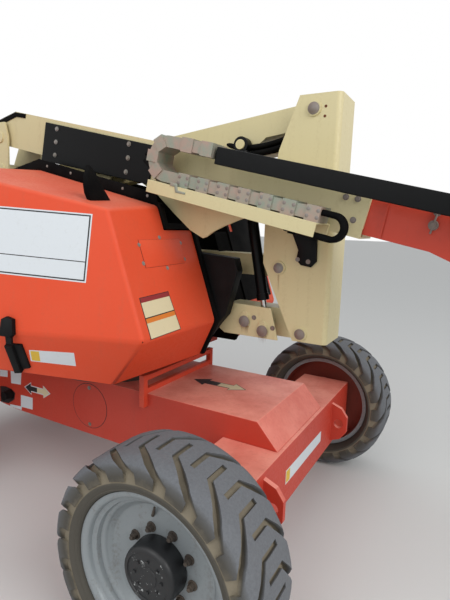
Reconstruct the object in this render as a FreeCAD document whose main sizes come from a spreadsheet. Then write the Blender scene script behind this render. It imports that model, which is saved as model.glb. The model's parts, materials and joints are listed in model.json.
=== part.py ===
import FreeCAD, Part
import Sketcher
import math
import os
from FreeCAD import Placement, Rotation, Vector

# Self-propelled articulating boom lift, stowed on its wheels.
# +X runs from the turntable towards the platform, +Y to the left, +Z up.
# The origin is on the ground under the middle of the stowed machine.

os.makedirs("parts", exist_ok=True)
doc = FreeCAD.newDocument("BoomLift")
sheet = doc.addObject("Spreadsheet::Sheet", "Sizes")

# Driving sizes in millimetres and degrees: name, value.
SIZES = [
    # fits between pieces
    ("PinClear", 0.05),
    ("SeatGap", 0.3),
    # reach of the blocks that cut the hoods, beyond the whole machine
    ("CutReach", 2500),
    # turntable axis, forward of the stowed machine's middle
    ("SwingX", -1365),
    # wheels and axles
    ("AxleX", 980),
    ("WheelY", 830),
    ("WheelRadius", 387),
    ("TyreWidth", 270),
    ("TreadHalf", 103),
    ("ShoulderDrop", 14),
    ("LugDeep", 24),
    ("LugEnd", 322),
    ("LugLag", 11.5),
    ("LugGap", 14),
    ("LugStep", 10),
    ("LipGap", 3),
    ("LipDepth", 12),
    ("BeadDepth", 20),
    ("BeadRadius", 254),
    ("FlangeRadius", 272),
    ("RimInner", 250),
    ("RimOut", 110),
    ("RimIn", 80),
    ("DiscOut", 33),
    ("DiscThick", 12),
    ("HubRadius", 88),
    ("HubOut", 105),
    ("HubIn", 34),
    ("SpindleRadius", 40),
    ("SpindleDepth", 20),
    ("AxleBoxBack", 117),
    ("AxleBoxFront", 155),
    ("AxleBoxLow", 278),
    ("AxleBoxTop", 540),
    ("DriveInset", 75),
    ("DriveFlangeRadius", 150),
    ("DriveFlangeThick", 15),
    ("LugY", 440),
    ("LugReach", 85),
    ("LugThick", 24),
    ("LugHole", 24),
    ("LugInset", 25),
    ("RearLugY", 380),
    ("RearLugReach", 72),
    ("RearLugHalf", 48),
    ("SteerBoxHalf", 460),
    ("KingpinY", 600),
    ("KingpinRadius", 20),
    ("KnuckleRadius", 45),
    ("YokeThick", 28),
    ("YokeRadius", 48),
    ("SteerArm", 195),
    ("SteerArmThick", 20),
    ("SteerArmWidth", 44),
    ("SteerArmZ", 407),
    ("TieRodRadius", 14),
    ("TieRodZ", 377),
    ("TieEndRadius", 22),
    ("SteerBarrelRadius", 32),
    ("SteerBarrelHalf", 170),
    # chassis
    ("FrameHalf", 281),
    ("FrameTop", 650),
    ("FrameLow", 347),
    ("BellyRise", 30),
    ("BellyX", 520),
    ("NoseTopX", 1022),
    ("NoseX", 1120),
    ("GuardX", 440),
    ("GuardTop", 741),
    ("GuardLow", 587),
    ("GuardTube", 14),
    # turntable
    ("RingRadius", 340),
    ("RingTop", 719),
    ("BaseTop", 792),
    ("BasePlate", 25),
    ("BaseFront", 430),
    ("BaseBack", 880),
    ("BaseBackHalf", 360),
    ("BaseHipX", 735),
    ("BaseHipHalf", 590),
    ("BaseSideX", 240),
    ("BaseSideHalf", 700),
    ("BaseShoulderX", 300),
    ("BaseShoulderHalf", 560),
    ("BaseFrontHalf", 400),
    ("TailRadius", 955),
    ("WeightDepth", 203),
    ("WeightTop", 1377),
    ("EngineBack", 350),
    ("EngineFront", 200),
    ("EngineIn", 330),
    ("EngineOut", 600),
    ("EngineTop", 1227),
    # hoods: front corner, side corner and rear corner, at the chine
    ("HoodWall", 6),
    ("HoodBottom", 827),
    ("ChineZ", 1002),
    ("HoodFrontX", 700),
    ("HoodFrontY", 612),
    ("HoodSideX", -235),
    ("HoodSideY", 921),
    ("HoodBackX", -720),
    ("HoodBackY", 620),
    ("HoodEndX", -735),
    ("BottomSetIn", 80),
    ("HoodBrowX", 530),
    ("HoodBrowY", 615),
    ("HoodBrowZ", 1489),
    ("HoodCrestX", -220),
    ("HoodCrestZ", 1649),
    ("HoodCrestInset", 110),
    ("HoodTailZ", 1567),
    ("HoodTopRise", 22),
    ("SealStand", 12),
    ("SkirtHeight", 200),
    ("SealThick", 25),
    ("SealGap", 5),
    ("CoverWidth", 58),
    ("RightInnerY", 93),
    ("RightStepY", 300),
    ("RightStepZ", 1442),
    ("LeftInnerY", 260),
    ("HingeX", -700),
    ("HingeY", 580),
    ("HingePin", 10),
    ("HingeKnuckle", 18),
    ("HingeLow", 857),
    ("HingeTall", 60),
    ("HingeStep", 120),
    # tower: rear pivots, and the upright's pins
    ("LowerPivotX", -550),
    ("UprightPinX", 1085),
    ("LowerPinZ", 973),
    ("LinkDX", -116),
    ("LinkDZ", 287),
    ("UpperPinDX", 5),
    ("UpperPinZ", 1925),
    ("MidPivotX", -600),
    ("MidPitch", 7.3),
    ("MidLinkDX", -50),
    ("MidLinkDZ", -105),
    ("ArmNear", 80),
    ("ArmFar", 190),
    ("LinkNear", 86),
    ("LinkFar", 184),
    ("LowerArmLow", 929),
    ("LowerArmTop", 1064),
    ("ArmEyeRadius", 50),
    ("ArmSetBack", 40),
    ("LinkHeight", 100),
    ("LinkEyeRadius", 42),
    ("MidHeight", 104),
    ("MidLinkHeight", 56),
    ("MidLinkEye", 28),
    ("PinLarge", 30),
    ("PinMid", 22),
    ("PinSmall", 16),
    ("PlateThick", 12),
    ("CheekNear", 58),
    ("CheekFar", 212),
    ("CheekTop", 1327),
    ("PinProud", 8),
    # upright
    ("UprightFar", 214),
    ("UprightFront", 1204),
    ("UprightLow", 937),
    ("UprightCrown", 59),
    ("UprightTopBack", 1025),
    ("UprightShoulderX", 942),
    ("UprightShoulderDrop", 217),
    ("UprightBackX", 890),
    ("UprightBackTop", 1447),
    ("UprightBackLow", 1277),
    ("UprightFootX", 1048),
    ("UprightRound", 24),
    # tower cylinder, on the near side of the arms
    ("TowerRamY", 46),
    ("TowerRamFootX", 900),
    ("TowerRamFootZ", 984),
    ("TowerRamHeadX", 740),
    ("TowerRamHeadZ", 1807),
    ("TowerBarrelRadius", 26),
    ("TowerRodRadius", 14),
    ("TowerBarrelLength", 720),
    ("TowerRodStart", 52),
    ("ArmCheek", 10),
    ("CheekPinX", 805),
    ("CheekPinZ", 1019),
    ("RamLugBack", 150),
    ("RamLugFront", 120),
    ("RamEyeWidth", 44),
    ("RamFloor", 46),
    # upper upright, which carries the main boom
    ("MainPivotX", -600),
    ("MainPivotZ", 1877),
    ("BoomY", -130),
    ("HeadPlateOut", 115),
    ("HeadBackX", -790),
    ("HeadFootZ", 1452),
    ("HeadTopZ", 1955),
    ("MainRamFootX", -560),
    ("MainRamFootZ", 1489),
    # main boom, measured along the boom from its pivot
    ("BoomPitch", 12.45),
    ("BoomWidth", 180),
    ("BoomHeight", 185),
    ("BoomLow", -36),
    ("BoomWall", 8),
    ("BoomTail", -60),
    ("BoomTailDrop", 65),
    ("BoomTailRun", 140),
    ("BoomEnd", 2020),
    ("BoomEyeRadius", 46),
    ("MainRamHeadS", 700),
    ("MainRamHeadN", -100),
    ("MainLugHalf", 55),
    ("MainBarrelRadius", 32),
    ("MainRodRadius", 20),
    ("MainBarrelLength", 540),
    ("MainRodStart", 52),
    ("PanelStart", 328),
    ("PanelEnd", 1045),
    ("PanelLow", -62),
    ("PanelDrop", 20),
    ("PanelThick", 10),
    # fly boom
    ("FlyWidth", 150),
    ("FlyHeight", 152),
    ("FlyWall", 7),
    ("FlyTail", 250),
    ("FlyEnd", 2740),
    ("PadLength", 60),
    ("NoseStart", 2253),
    ("NosePlate", 10),
    ("JibPivotS", 2816),
    ("JibPivotN", -75),
    ("NoseRadius", 52),
    # cable carrier
    ("CarrierFar", -255),
    ("CarrierNear", -365),
    ("TroughFar", -220),
    ("TroughNear", -376),
    ("TroughFloor", -10),
    ("TroughLip", 50),
    ("TroughStart", 1157),
    ("TroughEnd", 1900),
    ("TroughSheet", 5),
    ("LoopS", 1218),
    ("LoopRadius", 95),
    ("ChainHeight", 55),
    ("ChainTopEnd", 1426),
    ("LinkPitch", 46),
    ("LinkInset", 5),
    ("LoopLinkAngle", 128),
    ("LoopLinkStep", 52),
    ("HoseRadius", 11),
    ("HoseY", -345),
    ("HosePitch", 27),
    ("HoseRise", 37),
    ("HoseDrop", 46),
    ("HoseLead", 45),
    ("HoseReturn", 120),
    ("CarrierTube", 65),
    ("CarrierTubeLow", 106),
    ("CarrierTubeNear", -350),
    ("CarrierTubeStart", 1436),
    ("CarrierTubeEnd", 2700),
    ("CarrierBracketS", 2330),
    ("CarrierBracketStep", 290),
    ("CarrierBracketLength", 40),
    # jib
    ("JibPinDX", 110),
    ("JibPinDZ", -110),
    ("JibAngle", 36),
    ("JibLength", 1100),
    ("JibLinkDX", -8),
    ("JibLinkDZ", 120),
    ("JibHeight", 90),
    ("JibNear", -146),
    ("JibFar", -95),
    ("JibPlateNear", -157),
    ("JibPlateFar", -82),
    ("JibPlateThick", 7),
    ("JibLinkNear", -76),
    ("JibLinkFar", -52),
    ("JibLinkHeight", 44),
    ("JibRamY", -186),
    ("JibRamFootDX", -60),
    ("JibRamFootDZ", -200),
    ("JibRamHead", 600),
    ("JibBarrelRadius", 21),
    ("JibRodRadius", 12),
    ("JibBarrelLength", 420),
    ("JibRodStart", 135),
    ("JibHubRadius", 40),
    # platform
    ("TurnerDX", 110),
    ("TurnerRadius", 58),
    ("TurnerLow", -60),
    ("TurnerTop", 150),
    ("PlatformGap", 98),
    ("PlatformDepth", 760),
    ("PlatformWidth", 1520),
    ("FloorZ", 327),
    ("FloorThick", 32),
    ("RailTop", 1427),
    ("RailMid", 907),
    ("RailTube", 16),
    ("RailStep", 0.5),
    ("ToeHeight", 110),
    ("ToeThick", 3),
    ("GateStart", 120),
    ("GateWidth", 520),
    ("GateTop", 1397),
    ("GateClear", 7),
    ("ConsoleWidth", 420),
    ("ConsoleDepth", 150),
    ("ConsoleHeight", 170),
]


class Size:
    """A length or angle with its number and the sheet expression that gives it."""

    def __init__(self, number, text):
        self.number = number
        self.text = text

    def __add__(self, other):
        other = size(other)
        return Size(self.number + other.number, f"({self.text} + {other.text})")

    def __sub__(self, other):
        other = size(other)
        return Size(self.number - other.number, f"({self.text} - {other.text})")

    def __mul__(self, other):
        other = size(other)
        return Size(self.number * other.number, f"({self.text} * {other.text})")

    def __truediv__(self, other):
        other = size(other)
        return Size(self.number / other.number, f"({self.text} / {other.text})")

    def __neg__(self):
        return self * -1

    def __rsub__(self, other):
        return size(other) - self

    __radd__ = __add__
    __rmul__ = __mul__


def size(value):
    """A plain number as a Size; a Size is passed on."""
    if isinstance(value, Size):
        return value
    return Size(float(value), f"({float(value)})")


class Sheet:
    """The spreadsheet's cells, read by name."""


S = Sheet()
for row, (name, number) in enumerate(SIZES, 1):
    sheet.set(f"A{row}", name)
    sheet.set(f"B{row}", str(number))
    sheet.setAlias(f"B{row}", name)
    setattr(S, name, Size(float(number), f"Sizes.{name}"))
doc.recompute()


def sine(angle):
    return Size(math.sin(math.radians(angle.number)), f"sin({angle.text})")


def cosine(angle):
    return Size(math.cos(math.radians(angle.number)), f"cos({angle.text})")


def reach(across, up):
    return Size(math.hypot(across.number, up.number), f"hypot({across.text}; {up.text})")


def slope(across, up):
    angle = math.degrees(math.atan2(up.number, across.number))
    return Size(angle, f"atan2({up.text}; {across.text})")


def bind(thing, prop, value):
    thing.setExpression(prop, size(value).text)


def move(thing, base=(0, 0, 0), lean=None):
    """Bind a place; lean is the angle by which local +X rises towards +Z."""
    if lean is not None:
        lean = size(lean)
        axis = Vector(0, -1, 0)
        if lean.number < 0:
            axis = Vector(0, 1, 0)
            lean = -lean
        thing.Placement = Placement(Vector(), Rotation(axis, lean.number))
        bind(thing, "Placement.Rotation.Angle", lean)
    for letter, where in zip("xyz", base):
        bind(thing, f"Placement.Base.{letter}", where)
    return thing


# A plane for outlines square to each axis: its role, and the way its normal points.
PLANES = {"X": ("YZ_Plane", 1), "Y": ("XZ_Plane", -1), "Z": ("XY_Plane", 1)}


def add_loop(sketch, outline):
    """A closed outline of straight edges, each corner bound to the sheet."""
    ends = [Vector(size(u).number, size(v).number, 0) for u, v in outline]
    count = len(ends)
    first = sketch.GeometryCount
    for k in range(count):
        sketch.addGeometry(Part.LineSegment(ends[k], ends[(k + 1) % count]), False)
    for k in range(count):
        sketch.addConstraint(Sketcher.Constraint("Coincident", first + k, 2, first + (k + 1) % count, 1))
    for k, corner in enumerate(outline):
        hold_point(sketch, first + k, 1, corner)


def hold_point(sketch, index, end, corner):
    for kind, where in zip(("DistanceX", "DistanceY"), corner):
        held = sketch.addConstraint(Sketcher.Constraint(kind, index, end, size(where).number))
        bind(sketch, f"Constraints[{held}]", where)


def add_ring(sketch, centre, radius):
    u, v = (size(c).number for c in centre)
    index = sketch.addGeometry(Part.Circle(Vector(u, v, 0), Vector(0, 0, 1), size(radius).number), False)
    hold_point(sketch, index, 3, centre)
    held = sketch.addConstraint(Sketcher.Constraint("Radius", index, size(radius).number))
    bind(sketch, f"Constraints[{held}]", radius)


def sketch_on(body, axis, low):
    role, sign = PLANES[axis]
    plane = next(f for f in body.Origin.OriginFeatures if f.Role == role)
    sketch = body.newObject("Sketcher::SketchObject", body.Label + "_outline")
    sketch.AttachmentSupport = [(plane, "")]
    sketch.MapMode = "FlatFace"
    bind(sketch, "AttachmentOffset.Base.z", size(low) * sign)
    return sketch


def plate(label, axis, outline, low, high, rings=(), loops=()):
    """A body padded from low to high along an axis; rings and loops are holes in it."""
    body = doc.addObject("PartDesign::Body", label)
    sketch = sketch_on(body, axis, low if PLANES[axis][1] > 0 else high)
    add_loop(sketch, outline)
    for loop in loops:
        add_loop(sketch, loop)
    for centre, radius in rings:
        add_ring(sketch, centre, radius)
    pad = body.newObject("PartDesign::Pad", label + "_pad")
    pad.Profile = sketch
    bind(pad, "Length", size(high) - size(low))
    return body


def turned(label, axis, outline):
    """A body revolved about X, Y or Z; the outline is (along the axis, radius)."""
    body = doc.addObject("PartDesign::Body", label)
    plane_axis, line = {"Y": ("X", "H_Axis"), "X": ("Y", "H_Axis"), "Z": ("Y", "V_Axis")}[axis]
    sketch = sketch_on(body, plane_axis, 0)
    add_loop(sketch, [(r, a) for a, r in outline] if axis == "Z" else outline)
    spin = body.newObject("PartDesign::Revolution", label + "_spin")
    spin.Profile = sketch
    spin.ReferenceAxis = (sketch, [line])
    spin.Angle = 360
    return body


def block(label, low, high):
    box = doc.addObject("Part::Box", label)
    for prop, near, far in zip(("Length", "Width", "Height"), low, high):
        bind(box, prop, size(far) - size(near))
    return move(box, low)


def rod(label, axis, radius, centre, low, high):
    """A cylinder along an axis from low to high; centre gives its other two places."""
    bar = doc.addObject("Part::Cylinder", label)
    bind(bar, "Radius", radius)
    bind(bar, "Height", size(high) - size(low))
    turn = {"X": Rotation(Vector(0, 1, 0), 90), "Y": Rotation(Vector(1, 0, 0), -90), "Z": Rotation()}
    bar.Placement = Placement(Vector(), turn[axis])
    base = list(centre)
    base.insert("XYZ".index(axis), low)
    return move(bar, base)


def fuse(label, pieces):
    union = doc.addObject("Part::MultiFuse", label)
    union.Shapes = pieces
    union.Refine = True
    return union


def cut(label, base, tools):
    result = doc.addObject("Part::Cut", label)
    result.Base = base
    result.Tool = tools[0] if len(tools) == 1 else fuse(label + "_tools", tools)
    result.Refine = True
    return result


def corners_round(body, axis, corners, radius):
    """Fillet the pad's edges that stand on the given corners of its outline."""
    doc.recompute()
    padded = body.Tip
    wanted = [tuple(size(c).number for c in corner) for corner in corners]
    keep = {"X": (1, 2), "Y": (0, 2), "Z": (0, 1)}[axis]
    names = []
    for index, edge in enumerate(padded.Shape.Edges, 1):
        ends = [edge.Vertexes[0].Point, edge.Vertexes[-1].Point]
        flat = [(end[keep[0]], end[keep[1]]) for end in ends]
        if math.dist(*flat) < 0.01 and any(math.dist(flat[0], spot) < 0.01 for spot in wanted):
            names.append(f"Edge{index}")
    fillet = body.newObject("PartDesign::Fillet", body.Label + "_round")
    fillet.Base = (padded, names)
    bind(fillet, "Radius", radius)
    return body


def at_x(distance):
    """A place measured forward from the swing axis."""
    return S.SwingX + distance


nodes = {}
SIDES = {"right": -1, "left": 1}

# Chassis: one deep box with sloped noses, over an axle box at each end.
box_back = S.AxleX - S.AxleBoxBack
box_front = S.AxleX + S.AxleBoxFront
drive_box_half = S.WheelY - S.DriveInset
half_profile = [
    (S.BellyX, S.FrameLow),
    (box_back, S.FrameLow + S.BellyRise),
    (box_back, S.AxleBoxTop),
    (S.NoseX, S.AxleBoxTop),
    (S.NoseTopX, S.FrameTop),
]
frame_outline = [(at_x(x), z) for x, z in half_profile]
frame_outline += [(at_x(-x), z) for x, z in reversed(half_profile)]
nodes["chassis_frame"] = plate("chassis_frame", "Y", frame_outline, -S.FrameHalf, S.FrameHalf)

# Front axle box with a drive flange at each end and two tie-down lugs on its end plate.
axle_mid_z = S.WheelRadius
front_x = at_x(S.AxleX)
front_pieces = [
    block("drive_axle_box", (at_x(box_back), -drive_box_half, S.AxleBoxLow),
          (at_x(box_front), drive_box_half, S.AxleBoxTop)),
]
for side, way in SIDES.items():
    inner = drive_box_half
    outer = drive_box_half + S.DriveFlangeThick
    tip = S.WheelY + S.SpindleDepth - 1
    spans = [("flange", S.DriveFlangeRadius, inner, outer), ("spindle", S.SpindleRadius, inner, tip)]
    for part, radius, near, far in spans:
        low, high = (near, far) if way > 0 else (-far, -near)
        front_pieces.append(rod(f"drive_{part}_{side}", "Y", radius, (front_x, axle_mid_z), low, high))


def tie_down(label, root_x, way, y, middle, crown, length):
    """A half-round lug on an axle end plate, with its shackle hole across."""
    low = y - S.LugThick / 2
    high = y + S.LugThick / 2
    tip_x = root_x + way * length
    knee_x = root_x + way * (length * 0.62)
    outline = [
        (root_x, middle - crown),
        (knee_x, middle - crown * 0.8),
        (tip_x, middle - crown * 0.38),
        (tip_x, middle + crown * 0.38),
        (knee_x, middle + crown * 0.8),
        (root_x, middle + crown),
    ]
    hole = ((root_x + way * (length * 0.48), middle), S.LugHole)
    return plate(label, "Y", outline, low, high, rings=[hole])


box_middle = (S.AxleBoxLow + S.AxleBoxTop) / 2
front_crown = (S.AxleBoxTop - S.AxleBoxLow) / 2 - S.LugInset
for side, way in SIDES.items():
    front_pieces.append(tie_down(f"front_lug_{side}", at_x(box_front), 1, way * S.LugY, box_middle,
                                 front_crown, S.LugReach))
nodes["front_axle"] = fuse("front_axle", front_pieces)

# Steer axle: a shorter box, a yoke and kingpin at each end, and the steering cylinder's barrel.
rear_x = at_x(-S.AxleX)
rear_face = at_x(-box_front)
knuckle_low = S.AxleBoxLow + S.YokeThick
knuckle_top = S.AxleBoxTop - S.YokeThick
arm_x = rear_x - S.SteerArm
rear_pieces = [
    block("steer_axle_box", (rear_face, -S.SteerBoxHalf, S.AxleBoxLow),
          (at_x(-box_back), S.SteerBoxHalf, S.AxleBoxTop)),
    cut("steer_barrel",
        rod("steer_barrel_out", "Y", S.SteerBarrelRadius, (arm_x, S.TieRodZ), -S.SteerBarrelHalf, S.SteerBarrelHalf),
        [rod("steer_barrel_bore", "Y", S.TieRodRadius + S.PinClear, (arm_x, S.TieRodZ),
             -S.SteerBarrelHalf - 1, S.SteerBarrelHalf + 1)]),
]
for side, way in SIDES.items():
    grip = way * (S.SteerBarrelHalf * 0.7)
    rear_pieces.append(block(f"steer_barrel_bracket_{side}",
                             (arm_x, grip - 15, S.TieRodZ + S.TieRodRadius + 5),
                             (rear_face, grip + 15, S.TieRodZ + S.SteerBarrelRadius + 4)))
    yoke_y = way * S.KingpinY
    ends = [way * S.SteerBoxHalf, yoke_y]
    low, high = (ends[0], ends[1]) if way > 0 else (ends[1], ends[0])
    for level, bottom in (("low", S.AxleBoxLow), ("top", knuckle_top)):
        top = bottom + S.YokeThick
        rear_pieces.append(block(f"yoke_{level}_{side}", (rear_x - S.YokeRadius, low, bottom),
                                 (rear_x + S.YokeRadius, high, top)))
        rear_pieces.append(rod(f"yoke_{level}_end_{side}", "Z", S.YokeRadius, (rear_x, yoke_y), bottom, top))
    rear_pieces.append(rod(f"kingpin_{side}", "Z", S.KingpinRadius, (rear_x, yoke_y), S.AxleBoxLow, S.AxleBoxTop))
    rear_pieces.append(tie_down(f"rear_lug_{side}", rear_face, -1, way * S.RearLugY,
                                S.AxleBoxTop - S.RearLugHalf - 4, S.RearLugHalf, S.RearLugReach))
nodes["rear_axle"] = fuse("rear_axle", rear_pieces)

# Steering knuckles, each with its spindle and a steering arm, and the tie rod below the arms.
arm_low = S.SteerArmZ
arm_top = S.SteerArmZ + S.SteerArmThick
for side, way in SIDES.items():
    yoke_y = way * S.KingpinY
    shoulder = way * (S.WheelY - S.HubIn - 6)
    spindle_tip = way * (S.WheelY + S.SpindleDepth - 1)
    low, high = sorted((yoke_y, spindle_tip), key=lambda place: place.number)
    flange = sorted((way * (S.WheelY - S.HubIn - 18), shoulder), key=lambda place: place.number)
    half_arm = S.SteerArmWidth / 2
    knuckle = fuse(f"knuckle_{side}_solid", [
        rod(f"knuckle_{side}_post", "Z", S.KnuckleRadius, (rear_x, yoke_y), knuckle_low + S.SeatGap,
            knuckle_top - 5),
        rod(f"knuckle_{side}_spindle", "Y", S.SpindleRadius, (rear_x, axle_mid_z), low, high),
        rod(f"knuckle_{side}_flange", "Y", S.HubRadius, (rear_x, axle_mid_z), flange[0], flange[1]),
        block(f"knuckle_{side}_arm", (arm_x, yoke_y - half_arm, arm_low), (rear_x, yoke_y + half_arm, arm_top)),
        rod(f"knuckle_{side}_arm_eye", "Z", half_arm, (arm_x, yoke_y), arm_low, arm_top),
    ])
    bore = rod(f"knuckle_{side}_bore", "Z", S.KingpinRadius + S.PinClear, (rear_x, yoke_y),
               knuckle_low, knuckle_top)
    nodes[f"steering_knuckle_{side}"] = cut(f"steering_knuckle_{side}", knuckle, [bore])
tie_pieces = [rod("tie_bar", "Y", S.TieRodRadius, (arm_x, S.TieRodZ), -S.KingpinY, S.KingpinY)]
for side, way in SIDES.items():
    tie_pieces.append(rod(f"tie_end_{side}", "Z", S.TieEndRadius, (arm_x, way * S.KingpinY),
                          S.TieRodZ - S.TieRodRadius, arm_low - S.SeatGap))
nodes["tie_rod"] = fuse("tie_rod", tie_pieces)

# Wheels: a foam-filled tyre on a deep stepped disc rim with the drive hub in its middle.
bore_radius = S.SpindleRadius + S.PinClear
disc_in = S.DiscOut - S.DiscThick
RIM_SECTION = [
    (S.SpindleDepth, 0),
    (S.SpindleDepth, bore_radius),
    (-S.HubIn, bore_radius),
    (-S.HubIn, S.HubRadius),
    (disc_in, S.HubRadius),
    (disc_in, S.RimInner - 54),
    (S.DiscOut, S.RimInner - 20),
    (S.DiscOut, S.RimInner),
    (-S.RimIn, S.RimInner),
    (-S.RimIn, S.FlangeRadius),
    (-S.RimIn + 8, S.FlangeRadius),
    (-S.RimIn + 12, S.BeadRadius),
    (S.RimOut - 12, S.BeadRadius),
    (S.RimOut - 8, S.FlangeRadius),
    (S.RimOut, S.FlangeRadius),
    (S.RimOut, S.FlangeRadius - 8),
    (S.RimOut - 8, S.RimInner),
    (S.RimOut - 26, S.RimInner - 6),
    (S.RimOut - 46, S.RimInner - 32),
    (S.RimOut - 62, S.RimInner - 40),
    (S.DiscOut + 3, S.RimInner - 54),
    (S.DiscOut, S.HubRadius),
    (S.HubOut - 12, S.HubRadius),
    (S.HubOut, S.HubRadius - 12),
    (S.HubOut, 0),
]
LUG_COUNT = 19
# Where a lug's foot and top begin and end, as shares of the pitch.
LUG_SHARES = (0.0, 0.05, 0.55, 0.62)


LUG_ENDS = (0.0, 0.55)


def ring_points(out, radii, turn, shares=LUG_SHARES):
    """Points round the tyre at one distance from its middle, a few for each lug."""
    points = []
    for k in range(LUG_COUNT):
        for share, radius in zip(shares, radii):
            angle = math.radians((k + share) * 360 / LUG_COUNT + turn)
            points.append(Vector(radius * math.sin(angle), out, radius * math.cos(angle)))
    return points


def band(first, last):
    """Flat triangles between two closed rings whose point counts are equal or two to one."""
    faces = []
    count = len(first)
    ratio = count // len(last)
    for k in range(count):
        a, b = first[k], first[(k + 1) % count]
        c, d = last[k // ratio], last[(k + 1) // ratio % len(last)]
        corners = [(a, b, c)] + ([(b, d, c)] if (d - c).Length > 0.001 else [])
        faces += [Part.Face(Part.makePolygon([*three, three[0]])) for three in corners]
    return faces


def lugged_tyre():
    """A tyre with a row of lugs on each half that lean back and interlock at the middle."""
    top = S.WheelRadius.number
    low = top - S.LugDeep.number
    edge = S.TyreWidth.number / 2
    corner_top = top - S.ShoulderDrop.number - S.LugDeep.number / 2
    corner_low = corner_top - S.LugStep.number
    flange = S.FlangeRadius.number + S.LipGap.number
    half_pitch = 180 / LUG_COUNT
    seat = (S.BeadRadius.number + S.SeatGap.number) / math.cos(math.radians(half_pitch))
    middle = ring_points(0, (low, low), 0, LUG_ENDS)
    faces = []
    bores = []
    for way, start, rim_edge in ((1, 0, S.RimOut.number), (-1, half_pitch, S.RimIn.number)):
        lag = start + S.LugLag.number
        near_middle = ring_points(way * S.LugGap.number, (low, top, top, low), start)
        tread = ring_points(way * S.TreadHalf.number, (low, top - 3, top - 3, low), lag)
        corner = ring_points(way * edge, (corner_low, corner_top, corner_top, corner_low), lag + 1)
        foot = ring_points(way * (edge - 3), (S.LugEnd.number, S.LugEnd.number), lag + 1, LUG_ENDS)
        bead = ring_points(way * (rim_edge - S.LipDepth.number), (flange, flange), lag + 1, LUG_ENDS)
        bore = ring_points(way * (rim_edge - S.BeadDepth.number), (seat,), lag + 1, (0.0,))
        groove = middle if way > 0 else middle[1:] + middle[:1]
        for first, last in ((near_middle, groove), (near_middle, tread), (tread, corner), (corner, foot),
                            (foot, bead), (bead, bore)):
            faces += band(first, last)
        bores.append(bore)
    faces += band(*bores)
    shell = Part.makeShell(faces)
    shell.sewShape()
    solid = Part.makeSolid(shell)
    if solid.Volume < 0:
        solid.reverse()
    return solid


tyre_solid = lugged_tyre()
WHEELS = {"front_right": (1, -1), "front_left": (1, 1), "rear_right": (-1, -1), "rear_left": (-1, 1)}
for corner, (end, way) in WHEELS.items():
    centre = (at_x(end * S.AxleX), way * S.WheelY, S.WheelRadius)
    outline = [(along * way, radius) for along, radius in RIM_SECTION]
    nodes[f"rim_{corner}"] = move(turned(f"rim_{corner}", "Y", outline), centre)
    tyre = doc.addObject("Part::Feature", f"tyre_{corner}")
    tyre.Shape = tyre_solid if way > 0 else tyre_solid.mirror(Vector(0, 0, 0), Vector(0, 1, 0))
    nodes[f"tyre_{corner}"] = move(tyre, centre)

# Square tube guard across the chassis: a post on each side and two rails between them.
guard_x = at_x(S.GuardX)
guard_half = S.GuardTube
guard_pieces = []
for side, way in SIDES.items():
    low, high = sorted((way * S.FrameHalf, way * (S.FrameHalf + 2 * guard_half)), key=lambda place: place.number)
    guard_pieces.append(block(f"guard_post_{side}", (guard_x - guard_half, low, S.GuardLow),
                              (guard_x + guard_half, high, S.GuardTop)))
guard_reach = S.FrameHalf + guard_half
for level, low in (("low", S.FrameTop), ("top", S.GuardTop - 2 * guard_half)):
    guard_pieces.append(block(f"guard_rail_{level}", (guard_x - guard_half + 2, -guard_reach, low),
                              (guard_x + guard_half - 2, guard_reach, low + 2 * guard_half - 4)))
nodes["tube_guard"] = fuse("tube_guard", guard_pieces)

# Slewing ring on the chassis, and the turntable's base plate on it.
nodes["slewing_ring"] = rod("slewing_ring", "Z", S.RingRadius, (S.SwingX, 0), S.FrameTop, S.RingTop)
base_half = [
    (-S.BaseBack, S.BaseBackHalf),
    (-S.BaseHipX, S.BaseHipHalf),
    (-S.BaseSideX, S.BaseSideHalf),
    (S.BaseShoulderX, S.BaseShoulderHalf),
    (S.BaseFront, S.BaseFrontHalf),
]
base_outline = [(at_x(x), y) for x, y in base_half]
base_outline += [(at_x(x), -y) for x, y in reversed(base_half)]
cheek_outline = [
    (at_x(S.LowerPivotX - 175), S.BaseTop),
    (at_x(S.LowerPivotX + 130), S.BaseTop),
    (at_x(S.LowerPivotX + 60), S.LowerPinZ + 60),
    (at_x(S.LowerPivotX + S.LinkDX + 65), S.CheekTop),
    (at_x(S.LowerPivotX + S.LinkDX - 59), S.CheekTop),
]
pin_near = S.CheekNear - S.PinProud
pin_far = S.CheekFar + S.PinProud
lower_pivot = (at_x(S.LowerPivotX), S.LowerPinZ)
link_pivot = (at_x(S.LowerPivotX + S.LinkDX), S.LowerPinZ + S.LinkDZ)
nodes["turntable_base"] = fuse("turntable_base", [
    plate("base_plate", "Z", base_outline, S.BaseTop - S.BasePlate, S.BaseTop),
    rod("base_ring", "Z", S.RingRadius + 20, (S.SwingX, 0), S.RingTop + S.SeatGap, S.BaseTop - S.BasePlate),
    plate("cheek_near", "Y", cheek_outline, S.CheekNear, S.CheekNear + S.PlateThick),
    plate("cheek_far", "Y", cheek_outline, S.CheekFar - S.PlateThick, S.CheekFar),
    rod("cheek_pin_low", "Y", S.PinMid, lower_pivot, pin_near, pin_far),
    rod("cheek_pin_high", "Y", S.PinMid, link_pivot, pin_near, pin_far),
])

# Cast counterweight, rounded to the tail circle.
tail_disc = rod("tail_disc", "Z", S.TailRadius, (S.SwingX, 0), S.BaseTop, S.WeightTop)
weight_box = block("weight_box", (at_x(-S.TailRadius), -S.TailRadius, S.BaseTop),
                   (at_x(S.WeightDepth - S.TailRadius), S.TailRadius, S.WeightTop))
weight = doc.addObject("Part::Common", "counterweight")
weight.Base = tail_disc
weight.Tool = weight_box
nodes["counterweight"] = weight

# Engine, one plain block under the left hood.
nodes["engine_block"] = block("engine_block", (at_x(-S.EngineBack), S.EngineIn, S.BaseTop),
                              (at_x(S.EngineFront), S.EngineOut, S.EngineTop))


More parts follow.
